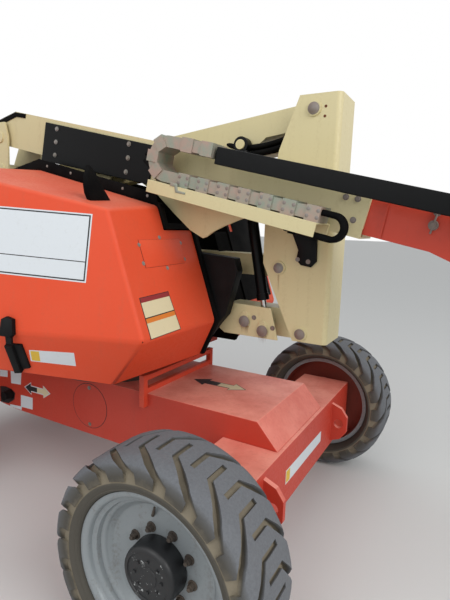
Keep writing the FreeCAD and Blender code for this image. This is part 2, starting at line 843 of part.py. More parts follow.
def facet(a, b, c):
    """A flat side through three corners, and its outward normal."""
    across = (b - a).cross(c - a)
    outward = across.normalize()
    middle = Vector(S.SwingX.number - 60, 0, S.ChineZ.number + 125)
    if outward.dot(a - middle) < 0:
        outward = -outward
    return a, outward


def hood_facets(way):
    """The flat sides of a hood, in order round the chine and over the top."""

    def spot(x, y, z):
        return Vector(S.SwingX.number + x.number, way * y.number, z.number)

    front = spot(S.HoodFrontX, S.HoodFrontY, S.ChineZ)
    front_in = front + Vector(0, -way * 100, 0)
    side = spot(S.HoodSideX, S.HoodSideY, S.ChineZ)
    back = spot(S.HoodBackX, S.HoodBackY, S.ChineZ)
    brow = spot(S.HoodBrowX, S.HoodBrowY, S.HoodBrowZ)
    crest = spot(S.HoodCrestX, S.HoodSideY - S.HoodCrestInset, S.HoodCrestZ)
    tail = spot(S.HoodBackX, S.HoodBackY - S.HoodCrestInset, S.HoodTailZ)
    brow_in = brow + Vector(0, -way * 300, S.HoodTopRise.number)
    tail_in = tail + Vector(0, -way * 300, S.HoodTopRise.number)

    def below(corner, toward):
        step = (toward - corner).normalize() * S.BottomSetIn.number
        return Vector(corner.x + step.x, corner.y + step.y, S.HoodBottom.number)

    middle = Vector(S.SwingX.number, way * 300, S.ChineZ.number)
    return [
        facet(front, front_in, brow),
        facet(front, side, brow),
        facet(side, back, crest),
        facet(brow, crest, brow_in),
        facet(crest, tail, tail_in),
        facet(front, front_in, below(front, front + Vector(-100, 0, 0))),
        facet(front, side, below((front + side) / 2, middle)),
        facet(side, back, below((side + back) / 2, middle)),
    ]


def faceted(way, grow, drop=0):
    """The hood's closed outer form; grow moves every facet outwards, drop lowers its foot."""
    wide = S.CutReach.number
    low = Vector(at_x(S.HoodEndX).number - grow, -S.TailRadius.number, S.HoodBottom.number - drop)
    form = Part.makeBox(wide, 2 * S.TailRadius.number, wide, low)
    for corner, outward in hood_facets(way):
        start = corner + outward * grow
        turn = Rotation(Vector(0, 0, 1), outward)
        knife = Part.makeBox(2 * wide, 2 * wide, wide, Vector(-wide, -wide, 0))
        knife.Placement = Placement(start, turn)
        form = form.cut(knife)
    return form


def strip(way, near, far, low, high):
    """A long box over the whole hood between two distances from the middle plane."""
    y = min(way * near, way * far)
    wide = S.CutReach.number
    return Part.makeBox(2 * wide, abs(far - near), high - low, Vector(S.SwingX.number - wide, y, low))


COVER_CORNERS = [(560, 0), (700, 190), (738, 235), (795, 444), (778, 503), (560, 520)]
INNER = {"right": S.RightInnerY, "left": S.LeftInnerY}
wall = S.HoodWall.number
seal = S.SealThick.number
far_off = S.CutReach.number
for side, way in SIDES.items():
    inner = INNER[side].number
    shell = faceted(way, 0).cut(faceted(way, -wall, wall))
    gap = S.SealGap.number
    shell = shell.cut(strip(way, -far_off, inner + gap, 0, far_off))
    bulkhead = strip(way, inner - seal, inner, S.BaseTop.number, far_off)
    if side == "right":
        step_y = S.RightStepY.number
        step_z = S.RightStepZ.number
        shell = shell.cut(strip(way, inner, step_y + gap, step_z - seal - gap, far_off))
        bulkhead = strip(way, inner - seal, inner, S.BaseTop.number, step_z)
        bulkhead = bulkhead.fuse(strip(way, inner - seal, step_y, step_z - seal, step_z))
        bulkhead = bulkhead.fuse(strip(way, step_y - seal, step_y, step_z - seal, far_off))
    hull = faceted(way, S.SealStand.number)
    skirt = Part.makeBox(S.BaseFront.number - S.HoodEndX.number, 2 * far_off, S.SkirtHeight.number,
                         Vector(at_x(S.HoodEndX).number, -far_off, S.BaseTop.number))
    bulkhead = bulkhead.common(hull.fuse(skirt))
    seal_piece = doc.addObject("Part::Feature", f"hood_seal_{side}")
    seal_piece.Shape = bulkhead.removeSplitter()
    nodes[f"hood_seal_{side}"] = seal_piece

    # Hinge knuckles at the hood's rear outer corner turn on two pins that stand on the base.
    hinge_x = at_x(S.HingeX).number
    hinge_y = way * S.HingeY.number
    knuckle_z = [S.HingeLow.number + k * S.HingeStep.number for k in range(2)]
    for z in knuckle_z:
        tall = S.HingeTall.number
        ear = Part.makeCylinder(S.HingeKnuckle.number, tall, Vector(hinge_x, hinge_y, z))
        arm = Part.makeBox(hinge_x - at_x(S.HoodEndX).number, 24, tall,
                           Vector(at_x(S.HoodEndX).number, hinge_y - 12, z))
        shell = shell.fuse(ear.fuse(arm))
    bore = Part.makeCylinder(S.HingePin.number + S.PinClear.number, 600, Vector(hinge_x, hinge_y, S.BaseTop.number + 5))
    shell = shell.cut(bore)
    hood = doc.addObject("Part::Feature", f"hood_{side}")
    hood.Shape = shell.removeSplitter()
    nodes[f"hood_{side}"] = hood
    nodes[f"hood_hinge_{side}"] = fuse(f"hood_hinge_{side}", [
        rod(f"hinge_pin_{side}", "Z", S.HingePin, (at_x(S.HingeX), way * S.HingeY), S.BaseTop,
            S.HingeLow + S.HingeStep + S.HingeTall + 10),
        rod(f"hinge_collar_{side}", "Z", S.HingeKnuckle, (at_x(S.HingeX), way * S.HingeY), S.BaseTop,
            S.HingeLow - S.SeatGap),
    ])


# Plain cover box on the right seal's inner side, in front of the tower.
cover_outline = [(at_x(x), S.BaseTop + z) for x, z in COVER_CORNERS]
nodes["front_cover"] = plate("front_cover", "Y", cover_outline, S.SeatGap - S.RightInnerY + S.SealThick,
                             S.SeatGap - S.RightInnerY + S.SealThick + S.CoverWidth)


def eye(label, radius, bore, centre, near, far):
    """A boss across Y and the rod that bores it."""
    boss = rod(label, "Y", radius, centre, near, far)
    hole = rod(label + "_bore", "Y", bore + S.PinClear, centre, near - 1, far + 1)
    return boss, hole


def arm(label, foot, head, near, far, height, foot_eye, head_eye, centre_drop=0, extra=()):
    """A straight arm between two pins: a box with an eye at each end."""
    (foot_x, foot_z), (head_x, head_z) = foot, head
    across = head_x - foot_x
    up = head_z - foot_z
    length = reach(across, up)
    set_back = S.ArmSetBack
    boxed = block(label + "_box", (set_back / 2, near, -height / 2 + centre_drop),
                  (length - set_back / 2, far, height / 2 + centre_drop))
    first, first_hole = eye(label + "_foot", foot_eye[0], foot_eye[1], (0, 0), near, far)
    last, last_hole = eye(label + "_head", head_eye[0], head_eye[1], (length, 0), near, far)
    solid = fuse(label + "_solid", [boxed, first, last, *extra])
    result = cut(label, solid, [first_hole, last_hole])
    return move(result, (foot_x, 0, foot_z), slope(across, up))


# Tower: the lower arm and its timing link carry the upright, which stays upright.
upright_low = (at_x(S.UprightPinX), S.LowerPinZ)
cheek_far_y = S.TowerRamY - S.RamEyeWidth / 2 - S.PinProud - S.SeatGap
cheek_near_y = cheek_far_y - S.ArmCheek
upright_link = (at_x(S.UprightPinX + S.LinkDX), S.LowerPinZ + S.LinkDZ)
lower_drop = (S.LowerArmTop + S.LowerArmLow) / 2 - S.LowerPinZ
ARM_CHEEK = [
    (S.CheekPinX - 150, S.LowerArmLow + 22),
    (S.CheekPinX - 110, S.LowerArmLow - 4),
    (S.UprightPinX - 110, S.LowerArmLow - 4),
    (S.UprightPinX - 150, S.LowerArmTop + 6),
    (S.CheekPinX - 115, S.LowerArmTop + 14),
    (S.CheekPinX - 150, S.LowerArmTop - 20),
]
nodes["tower_lower_arm"] = arm(
    "tower_lower_arm", lower_pivot, upright_low, S.ArmNear, S.ArmFar, S.LowerArmTop - S.LowerArmLow,
    (S.ArmEyeRadius, S.PinMid), (S.ArmEyeRadius, S.PinLarge), lower_drop,
    [plate("arm_cheek", "Y", [(x - S.LowerPivotX, z - S.LowerPinZ) for x, z in ARM_CHEEK], cheek_near_y, cheek_far_y),
     rod("arm_cheek_pin", "Y", S.PinMid, (S.CheekPinX - S.LowerPivotX, S.CheekPinZ - S.LowerPinZ),
         cheek_near_y - S.PinProud, S.ArmNear + 5),
     rod("tower_ram_foot_cap", "Y", S.PinMid, (S.TowerRamFootX - S.LowerPivotX, S.TowerRamFootZ - S.LowerPinZ),
         cheek_near_y - S.PinProud, cheek_near_y)])
nodes["tower_timing_link"] = arm(
    "tower_timing_link", link_pivot, upright_link, S.LinkNear, S.LinkFar, S.LinkHeight,
    (S.LinkEyeRadius, S.PinMid), (S.LinkEyeRadius, S.PinMid))

# Upright: a channel of bent plate, open towards the rear, with its four pins.
mid_pin_x = S.UprightPinX + S.UpperPinDX
upright_mid = (at_x(mid_pin_x), S.UpperPinZ)
upright_mid_link = (at_x(mid_pin_x + S.MidLinkDX), S.UpperPinZ + S.MidLinkDZ)
upright_top = S.UpperPinZ + S.UprightCrown
upright_outline = [
    (at_x(S.UprightFootX), S.UprightLow),
    (at_x(S.UprightFront), S.UprightLow),
    (at_x(S.UprightFront), upright_top),
    (at_x(S.UprightTopBack), upright_top),
    (at_x(S.UprightShoulderX), upright_top - S.UprightShoulderDrop),
    (at_x(S.UprightBackX), S.UprightBackTop),
    (at_x(S.UprightBackX), S.UprightBackLow),
]
upright_plates = corners_round(
    plate("upright_plates", "Y", upright_outline, 0, S.UprightFar), "Z",
    [(at_x(S.UprightFront), 0), (at_x(S.UprightFront), S.UprightFar)], S.UprightRound)
channel = cut("upright_channel", upright_plates, [
    block("upright_hollow", (at_x(S.UprightBackX - 50), S.PlateThick, S.UprightLow - 50),
          (at_x(S.UprightFront) - S.PlateThick, S.UprightFar - S.PlateThick, upright_top + 50))])
hang_top = S.LowerPinZ + S.LinkDZ
hanger = plate("upright_hanger", "Y", [
    (at_x(S.UprightPinX - 58), hang_top + 158),
    (at_x(S.UprightPinX - 25), hang_top + 84),
    (at_x(S.UprightPinX - 32), hang_top + 44),
    (at_x(S.UprightPinX - 11), hang_top + 21),
    (at_x(S.UprightPinX + 33), hang_top + 15),
    (at_x(S.UprightPinX + 56), hang_top + 40),
    (at_x(S.UprightPinX + 53), hang_top + 147),
], -S.PlateThick, 0)
nodes["tower_upright"] = fuse("tower_upright", [
    channel,
    rod("upright_pin_low", "Y", S.PinLarge, upright_low, -S.PinProud, S.UprightFar + S.PinProud),
    rod("upright_pin_link", "Y", S.PinMid, upright_link, S.LinkNear - S.PinProud, S.UprightFar + S.PinProud),
    rod("upright_pin_link_cap", "Y", S.PinLarge, upright_link, -S.PinProud, S.PlateThick / 2),
    rod("upright_pin_mid", "Y", S.PinLarge, upright_mid, -S.PinProud, S.UprightFar + S.PinProud),
    hanger,
    rod("upright_pin_mid_link", "Y", S.PinSmall, upright_mid_link, S.LinkNear - S.PinProud,
        S.UprightFar + S.PinProud),
])

# Middle arm and its link run back from the upright's head to the upper upright.
mid_drop = (mid_pin_x - S.MidPivotX) * sine(S.MidPitch) / cosine(S.MidPitch)
mid_foot = (at_x(S.MidPivotX), S.UpperPinZ - mid_drop)
mid_link_foot = (at_x(S.MidPivotX + S.MidLinkDX), S.UpperPinZ - mid_drop + S.MidLinkDZ)
head_lug_s = (S.TowerRamHeadX - S.MidPivotX) * cosine(S.MidPitch) + \
    (S.TowerRamHeadZ - S.UpperPinZ + mid_drop) * sine(S.MidPitch)
head_lug_n = (S.TowerRamHeadZ - S.UpperPinZ + mid_drop) * cosine(S.MidPitch) - \
    (S.TowerRamHeadX - S.MidPivotX) * sine(S.MidPitch)
lug_plate = plate("tower_ram_lug", "Y", [
    (head_lug_s - S.RamLugBack, -S.MidHeight / 2 + 10),
    (head_lug_s - 26, head_lug_n - 30),
    (head_lug_s + 26, head_lug_n - 30),
    (head_lug_s + S.RamLugFront, -S.MidHeight / 2 + 10),
], S.ArmNear, S.ArmNear + S.PlateThick)
nodes["tower_middle_arm"] = arm(
    "tower_middle_arm", mid_foot, upright_mid, S.ArmNear, S.ArmFar, S.MidHeight,
    (S.ArmEyeRadius, S.PinLarge), (S.ArmEyeRadius, S.PinLarge), 0,
    [lug_plate,
     rod("tower_ram_head_pin", "Y", S.PinMid, (head_lug_s, head_lug_n),
         S.TowerRamY - S.RamEyeWidth / 2 - S.PinProud, S.ArmNear + 2)])
nodes["tower_middle_link"] = arm(
    "tower_middle_link", mid_link_foot, upright_mid_link, S.LinkNear + 14, S.LinkFar, S.MidLinkHeight,
    (S.MidLinkEye, S.PinSmall), (S.MidLinkEye, S.PinSmall))


def ram(label, foot, head, middle_y, radii, barrel_length, rod_start, pin_span):
    """A hydraulic cylinder from its barrel's eye to its rod's eye with its pin, as two nodes."""
    barrel_radius, rod_radius, pin_radius = radii
    (foot_x, foot_z), (head_x, head_z) = foot, head
    across = head_x - foot_x
    up = head_z - foot_z
    length = reach(across, up)
    near = middle_y - S.RamEyeWidth / 2
    far = middle_y + S.RamEyeWidth / 2
    eye_radius = pin_radius + 14
    tube = rod(label + "_tube", "X", barrel_radius, (middle_y, 0), eye_radius - 6, barrel_length)
    hollow = rod(label + "_hollow", "X", rod_radius + S.PinClear, (middle_y, 0), S.RamFloor,
                 barrel_length + 1)
    foot_boss, foot_hole = eye(label + "_foot", eye_radius, pin_radius, (0, 0), near, far)
    gland = rod(label + "_gland", "X", barrel_radius + 4, (middle_y, 0), barrel_length - 30, barrel_length)
    barrel = cut(label + "_barrel", fuse(label + "_barrel_solid", [tube, foot_boss, gland]), [foot_hole, hollow])
    shaft = rod(label + "_shaft", "X", rod_radius, (middle_y, 0), rod_start, length - eye_radius + 6)
    head_boss = rod(label + "_head", "Y", eye_radius, (length, 0), near, far)
    head_pin = rod(label + "_head_pin", "Y", pin_radius, (length, 0), *pin_span)
    plunger = fuse(label + "_rod", [shaft, head_boss, head_pin])
    for piece in (barrel, plunger):
        move(piece, (foot_x, 0, foot_z), slope(across, up))
        nodes[piece.Label] = piece


ram("tower_ram", (at_x(S.TowerRamHeadX), S.TowerRamHeadZ), (at_x(S.TowerRamFootX), S.TowerRamFootZ),
    S.TowerRamY, (S.TowerBarrelRadius, S.TowerRodRadius, S.PinMid), S.TowerBarrelLength, S.TowerRodStart,
    (S.TowerRamY - S.RamEyeWidth / 2 - S.PinProud, S.ArmNear - S.SeatGap))

# Upper upright: plates on both sides of the main boom, tied to the middle arm's clevis.
main_pivot = (at_x(S.MainPivotX), S.MainPivotZ)
ram_foot = (at_x(S.MainRamFootX), S.MainRamFootZ)
head_outline = [
    (at_x(S.HeadBackX), S.HeadFootZ),
    (at_x(S.MainRamFootX + 45), S.HeadFootZ),
    (at_x(S.MidPivotX + 55), mid_foot[1]),
    (at_x(S.MainPivotX + 62), S.MainPivotZ),
    (at_x(S.MainPivotX + 40), S.HeadTopZ),
    (at_x(S.MainPivotX - 80), S.HeadTopZ),
    (at_x(S.HeadBackX), S.MainPivotZ - 130),
]
clevis_outline = [
    (at_x(S.HeadBackX), mid_link_foot[1] - 50),
    (mid_link_foot[0] + 45, mid_link_foot[1] - 50),
    (at_x(S.MidPivotX + 55), mid_foot[1]),
    (at_x(S.MidPivotX + 30), mid_foot[1] + 55),
    (at_x(S.HeadBackX), mid_foot[1] + 55),
]
plate_out = S.BoomY - S.HeadPlateOut
plate_in = S.BoomY + S.HeadPlateOut - 7
head_pieces = [
    plate("head_plate_near", "Y", head_outline, plate_out, plate_out + S.PlateThick),
    plate("head_plate_far", "Y", head_outline, plate_in - S.PlateThick, plate_in),
    plate("head_clevis_near", "Y", clevis_outline, S.CheekNear, S.CheekNear + S.PlateThick),
    plate("head_clevis_far", "Y", clevis_outline, S.CheekFar - S.PlateThick, S.CheekFar),
    block("head_web", (at_x(S.HeadBackX), plate_out, mid_link_foot[1] - 50),
          (at_x(S.HeadBackX) + S.PlateThick, S.CheekFar, mid_foot[1] + 55)),
    rod("head_pin_mid", "Y", S.PinLarge, mid_foot, plate_out - S.PinProud, pin_far),
    rod("head_pin_link", "Y", S.PinSmall, mid_link_foot, pin_near, pin_far),
    rod("head_pin_main", "Y", S.PinLarge, main_pivot, plate_out - S.PinProud, plate_in + S.PinProud),
    rod("head_pin_ram", "Y", S.PinMid, ram_foot, plate_out - S.PinProud, plate_in + S.PinProud),
]
nodes["upper_upright"] = fuse("upper_upright", head_pieces)
boom_near = S.BoomY - S.BoomWidth / 2
boom_far = S.BoomY + S.BoomWidth / 2
boom_top = S.BoomLow + S.BoomHeight


def on_boom(thing):
    """Lay a piece made in the boom's own measure along the stowed boom."""
    return move(thing, (main_pivot[0], 0, main_pivot[1]), -S.BoomPitch)


def boom_point(s, n):
    """A place given along and square to the boom, as X and Z."""
    x = main_pivot[0] + s * cosine(S.BoomPitch) + n * sine(S.BoomPitch)
    z = main_pivot[1] - s * sine(S.BoomPitch) + n * cosine(S.BoomPitch)
    return x, z


# Main boom base: a box tube with a sloped tail, a pivot boss and lugs for its cylinder.
inner_low = S.BoomLow + S.BoomWall
inner_top = boom_top - S.BoomWall
boom_tube = plate("boom_tube", "Y", [
    (S.BoomTail, S.BoomLow),
    (S.BoomEnd, S.BoomLow),
    (S.BoomEnd, boom_top),
    (S.BoomTail + S.BoomTailRun, boom_top),
    (S.BoomTail, boom_top - S.BoomTailDrop),
], boom_near, boom_far)
boom_hollow = block("boom_hollow", (S.FlyTail - 60, boom_near + S.BoomWall, inner_low),
                    (S.BoomEnd + 1, boom_far - S.BoomWall, inner_top))
fly_near = S.BoomY - S.FlyWidth / 2
fly_far = S.BoomY + S.FlyWidth / 2
fly_low = (inner_low + inner_top) / 2 - S.FlyHeight / 2
fly_top = fly_low + S.FlyHeight
pad_start = S.BoomEnd - S.PadLength
pads = [
    block("pad_under", (pad_start, fly_near + 20, inner_low), (S.BoomEnd, fly_far - 20, fly_low - S.SeatGap)),
    block("pad_over", (pad_start, fly_near + 20, fly_top + S.SeatGap), (S.BoomEnd, fly_far - 20, inner_top)),
    block("pad_near", (pad_start, boom_near + S.BoomWall, fly_low + 20),
          (S.BoomEnd, fly_near - S.SeatGap, fly_top - 20)),
    block("pad_far", (pad_start, fly_far + S.SeatGap, fly_low + 20),
          (S.BoomEnd, boom_far - S.BoomWall, fly_top - 20)),
]
lug_outline = [
    (S.MainRamHeadS - 90, S.BoomLow),
    (S.MainRamHeadS - 32, S.MainRamHeadN - 34),
    (S.MainRamHeadS + 32, S.MainRamHeadN - 34),
    (S.MainRamHeadS + 90, S.BoomLow),
]
lug_near = S.BoomY - S.MainLugHalf
lug_far = S.BoomY + S.MainLugHalf
boom_solid = fuse("boom_solid", [
    cut("boom_walls", boom_tube, [boom_hollow]),
    *pads,
    plate("ram_lug_near", "Y", lug_outline, lug_near, lug_near + S.PlateThick),
    plate("ram_lug_far", "Y", lug_outline, lug_far - S.PlateThick, lug_far),
    rod("ram_lug_cap_near", "Y", S.PinMid, (S.MainRamHeadS, S.MainRamHeadN), lug_near - S.PinProud, lug_near),
    rod("ram_lug_cap_far", "Y", S.PinMid, (S.MainRamHeadS, S.MainRamHeadN), lug_far, lug_far + S.PinProud),
])
pivot_bore = rod("boom_pivot_bore", "Y", S.PinLarge + S.PinClear, (0, 0), boom_near - 1, boom_far + 1)
nodes["main_boom"] = on_boom(cut("main_boom", boom_solid, [pivot_bore]))
ram("main_ram", ram_foot, boom_point(S.MainRamHeadS, S.MainRamHeadN), S.BoomY,
    (S.MainBarrelRadius, S.MainRodRadius, S.PinMid), S.MainBarrelLength, S.MainRodStart,
    (lug_near + S.PlateThick + S.SeatGap, lug_far - S.PlateThick - S.SeatGap))

# Hose cover panel on the near side of the boom's tail, held by six bolts.
panel_outline = [
    (S.PanelStart, S.PanelLow),
    (S.PanelEnd, S.PanelLow + 20),
    (S.PanelEnd, boom_top - S.PanelDrop),
    (S.PanelStart, boom_top - S.PanelDrop),
]
nodes["hose_cover"] = on_boom(plate("hose_cover", "Y", panel_outline, boom_near - S.PanelThick, boom_near))

# Trough under the cable carrier: a channel of bent sheet fixed to the boom's side.
lip_low = S.TroughFloor - S.TroughLip
nodes["carrier_trough"] = on_boom(fuse("carrier_trough", [
    block("trough_floor", (S.TroughStart, S.TroughNear, S.TroughFloor - S.TroughSheet),
          (S.TroughEnd, S.TroughFar, S.TroughFloor)),
    block("trough_lip", (S.TroughStart, S.TroughNear, lip_low),
          (S.TroughEnd, S.TroughNear + S.TroughSheet, S.TroughFloor)),
    block("trough_back", (S.TroughStart, S.TroughFar - S.TroughSheet, lip_low),
          (S.TroughEnd, S.TroughFar, S.TroughFloor)),
]))

# Cable carrier: the lower run, the rolling loop and the short upper run.
loop_n = S.TroughFloor + S.LoopRadius
loop_in = S.LoopRadius - S.ChainHeight
half_loop = cut("chain_loop", rod("loop_out", "Y", S.LoopRadius - S.LinkInset, (S.LoopS, loop_n),
                                  S.CarrierNear + S.LinkInset, S.CarrierFar - S.LinkInset), [
    rod("loop_hole", "Y", loop_in + S.LinkInset, (S.LoopS, loop_n), S.CarrierNear - 1, S.CarrierFar + 1),
    block("loop_front", (S.LoopS, S.CarrierNear - 1, loop_n - S.LoopRadius - 1),
          (S.LoopS + S.LoopRadius + 1, S.CarrierFar + 1, loop_n + S.LoopRadius + 1)),
])
inset = S.LinkInset
chain_pieces = [
    half_loop,
    block("chain_low_run", (S.LoopS, S.CarrierNear + inset, S.TroughFloor + inset),
          (S.TroughEnd, S.CarrierFar - inset, S.TroughFloor + S.ChainHeight - inset)),
    block("chain_top_run", (S.LoopS, S.CarrierNear + inset, loop_n + loop_in + inset),
          (S.ChainTopEnd, S.CarrierFar - inset, loop_n + S.LoopRadius - inset)),
]
link_step = 2 * S.LinkPitch
link_long = S.LinkPitch * 1.16
for k in range(7):
    back = S.TroughEnd - link_step * k
    chain_pieces.append(block(f"low_link_{k}", (back - link_long, S.CarrierNear, S.TroughFloor),
                              (back, S.CarrierFar, S.TroughFloor + S.ChainHeight)))
for k in range(2):
    front = S.ChainTopEnd - link_step * k
    chain_pieces.append(block(f"top_link_{k}", (front - link_long, S.CarrierNear, loop_n + loop_in),
                              (front, S.CarrierFar, loop_n + S.LoopRadius)))
for k in range(3):
    angle = S.LoopLinkAngle + S.LoopLinkStep * k
    middle = S.LoopRadius - S.ChainHeight / 2
    link = block(f"loop_link_{k}", (-S.ChainHeight / 2, S.CarrierNear, -S.LinkPitch / 2),
                 (S.ChainHeight / 2, S.CarrierFar, S.LinkPitch / 2))
    turned_link = doc.addObject("Part::MultiFuse", f"loop_link_{k}_set")
    turned_link.Shapes = [link, block(f"loop_link_{k}_core", (-5, S.CarrierNear + inset, -5), (5, S.CarrierFar - inset, 5))]
    chain_pieces.append(move(turned_link, (S.LoopS + middle * cosine(angle), 0, loop_n + middle * sine(angle)), angle))
nodes["cable_chain"] = on_boom(fuse("cable_chain", chain_pieces))

# Two hoses that leave the carrier, loop down and run back under the trough to their clamp.
hose_top = S.TroughFloor + S.HoseRise
hose_low = S.TroughFloor - S.HoseDrop
hose_turn = (hose_top - hose_low) / 2
hose_front = S.TroughEnd + S.HoseLead
hose_pieces = []
for k in range(2):
    y = S.HoseY + S.HosePitch * k
    half_turn = doc.addObject("Part::Torus", f"hose_turn_{k}")
    bind(half_turn, "Radius1", hose_turn)
    bind(half_turn, "Radius2", S.HoseRadius)
    half_turn.Angle3 = 180
    half_turn.Placement = Placement(Vector(), Rotation(Vector(1, 0, 0), 90) * Rotation(Vector(0, 0, 1), -90))
    move(half_turn, (hose_front, y, (hose_top + hose_low) / 2))
    hose_pieces += [
        half_turn,
        rod(f"hose_out_{k}", "X", S.HoseRadius, (y, hose_top), S.TroughEnd + S.SeatGap, hose_front),
        rod(f"hose_back_{k}", "X", S.HoseRadius, (y, hose_low), S.TroughEnd - S.HoseReturn, hose_front),
    ]
hose_pieces.append(block("hose_clamp", (S.TroughEnd - S.HoseReturn + 20, S.HoseY - S.HoseRadius - 4, hose_low - S.HoseRadius - 3),
                         (S.TroughEnd - S.HoseReturn + 50, S.HoseY + S.HosePitch + S.HoseRadius + 4,
                          S.TroughFloor - S.TroughSheet - S.SeatGap)))
nodes["boom_hoses"] = on_boom(fuse("boom_hoses", hose_pieces))

# Fly boom: the inner tube with a deepening nose that holds the jib's level pivot.
fly_body = cut("fly_tube", block("fly_outer", (S.FlyTail, fly_near, fly_low), (S.FlyEnd, fly_far, fly_top)), [
    block("fly_hollow", (S.FlyTail - 1, fly_near + S.FlyWall, fly_low + S.FlyWall),
          (S.FlyEnd + 1, fly_far - S.FlyWall, fly_top - S.FlyWall))])
nose_outline = [
    (S.NoseStart, fly_low),
    (S.JibPivotS - 40, S.JibPivotN - S.NoseRadius),
    (S.JibPivotS + 40, S.JibPivotN - S.NoseRadius),
    (S.JibPivotS + S.NoseRadius, S.JibPivotN + 20),
    (S.FlyEnd + 40, fly_top),
    (S.NoseStart, fly_top),
]
nodes["fly_boom"] = on_boom(fuse("fly_boom", [
    fly_body,
    plate("nose_near", "Y", nose_outline, fly_near, fly_near + S.NosePlate),
    plate("nose_far", "Y", nose_outline, fly_far - S.NosePlate, fly_far),
    rod("jib_level_pin", "Y", S.PinMid, (S.JibPivotS, S.JibPivotN), fly_near - S.PinProud,
        fly_far + S.PinProud),
]))

# Carrier tube: a square tube on the fly's near side that pulls the carrier's upper run.
tube_far = S.CarrierTubeNear + S.CarrierTube
tube_pieces = [
    block("carrier_bar", (S.CarrierTubeStart, S.CarrierTubeNear, S.CarrierTubeLow),
          (S.CarrierTubeEnd, tube_far, S.CarrierTubeLow + S.CarrierTube)),
]
for k in range(2):
    bracket_s = S.CarrierBracketS + k * S.CarrierBracketStep
    tube_pieces.append(block(f"carrier_bracket_{k}", (bracket_s, tube_far - 10, fly_top - 40),
                             (bracket_s + S.CarrierBracketLength, fly_near, S.CarrierTubeLow + 30)))
nodes["carrier_tube"] = on_boom(fuse("carrier_tube", tube_pieces))

# Jib base: hangs on the fly's level pivot and stays level; it carries arm, link and cylinder.
level_pivot = boom_point(S.JibPivotS, S.JibPivotN)
jib_pivot = (level_pivot[0] + S.JibPinDX, level_pivot[1] + S.JibPinDZ)
jib_link_pivot = (jib_pivot[0] + S.JibLinkDX, jib_pivot[1] + S.JibLinkDZ)
jib_ram_foot = (jib_pivot[0] + S.JibRamFootDX, jib_pivot[1] + S.JibRamFootDZ)
base_near_outline = [
    (level_pivot[0] - 38, level_pivot[1] + 10),
    (jib_ram_foot[0] - 32, jib_ram_foot[1]),
    (jib_ram_foot[0], jib_ram_foot[1] - 34),
    (jib_ram_foot[0] + 40, jib_ram_foot[1] - 10),
    (jib_pivot[0] + 36, jib_pivot[1] - 20),
    (jib_pivot[0] + 30, jib_pivot[1] + 30),
    (level_pivot[0] + 20, level_pivot[1] + 36),
]
base_far_outline = [
    (level_pivot[0] - 38, level_pivot[1]),
    (jib_pivot[0] - 30, jib_pivot[1] - 34),
    (jib_pivot[0] + 34, jib_pivot[1] - 20),
    (jib_link_pivot[0] + 30, jib_link_pivot[1] + 26),
    (jib_link_pivot[0] - 30, jib_link_pivot[1] + 28),
]
plate_a = (S.JibPlateNear, S.JibPlateNear + S.JibPlateThick)
plate_b = (S.JibPlateFar - S.JibPlateThick, S.JibPlateFar)
hub_near = fly_near + S.NosePlate + S.SeatGap
hub_far = fly_far - S.NosePlate - S.SeatGap
ram_pin_near = S.JibRamY - S.RamEyeWidth / 2
jib_base_solid = fuse("jib_base_solid", [
    plate("jib_base_near", "Y", base_near_outline, *plate_a),
    plate("jib_base_far", "Y", base_far_outline, *plate_b),
    rod("jib_hub", "Y", S.JibHubRadius, level_pivot, hub_near, hub_far),
    rod("jib_pin", "Y", S.PinMid, jib_pivot, plate_a[0] - 2, plate_b[1] + 2),
    rod("jib_link_pin", "Y", S.PinSmall, jib_link_pivot, plate_b[0], S.JibLinkFar + 4),
    rod("jib_ram_pin", "Y", S.PinSmall, jib_ram_foot, ram_pin_near - 2, plate_a[1]),
])
jib_base_bore = rod("jib_hub_bore", "Y", S.PinMid + S.PinClear, level_pivot, hub_near - 1, hub_far + 1)
nodes["jib_base"] = cut("jib_base", jib_base_solid, [jib_base_bore])

# Jib arm, its link above, and the cylinder beside them.
jib_head = (jib_pivot[0] + S.JibLength * cosine(S.JibAngle), jib_pivot[1] - S.JibLength * sine(S.JibAngle))
jib_link_head = (jib_head[0] + S.JibLinkDX, jib_head[1] + S.JibLinkDZ)
jib_ram_head = (jib_pivot[0] + S.JibRamHead * cosine(S.JibAngle), jib_pivot[1] - S.JibRamHead * sine(S.JibAngle))
nodes["jib_arm"] = arm(
    "jib_arm", jib_pivot, jib_head, S.JibNear, S.JibFar, S.JibHeight, (S.JibHeight / 2, S.PinMid),
    (S.JibHeight / 2, S.PinMid))
nodes["jib_link"] = arm(
    "jib_link", jib_link_pivot, jib_link_head, S.JibLinkNear, S.JibLinkFar, S.JibLinkHeight,
    (S.MidLinkEye, S.PinSmall), (S.MidLinkEye, S.PinSmall))
ram("jib_ram", jib_ram_foot, jib_ram_head, S.JibRamY, (S.JibBarrelRadius, S.JibRodRadius, S.PinSmall),
    S.JibBarrelLength, S.JibRodStart, (ram_pin_near - 2, S.JibNear - S.SeatGap))

# Platform mount: plates on the jib's head that stay level and hold the rotator.
turner_x = jib_head[0] + S.TurnerDX
mount_outline = [
    (jib_link_head[0] - 26, jib_link_head[1] + 26),
    (jib_head[0] - 34, jib_head[1] - 20),
    (jib_head[0], jib_head[1] - 40),
    (turner_x, jib_head[1] - 40),
    (turner_x, jib_link_head[1] + 26),
]
turner_low = jib_head[1] + S.TurnerLow
turner_top = jib_head[1] + S.TurnerTop
nodes["platform_mount"] = fuse("platform_mount", [
    plate("mount_near", "Y", mount_outline, *plate_a),
    plate("mount_far", "Y", mount_outline, *plate_b),
    rod("mount_pin", "Y", S.PinMid, jib_head, plate_a[0] - 2, plate_b[1] + 2),
    rod("mount_link_pin", "Y", S.PinSmall, jib_link_head, plate_b[0], S.JibLinkFar + 4),
    rod("rotator", "Z", S.TurnerRadius, (turner_x, S.BoomY), turner_low, turner_top),
])

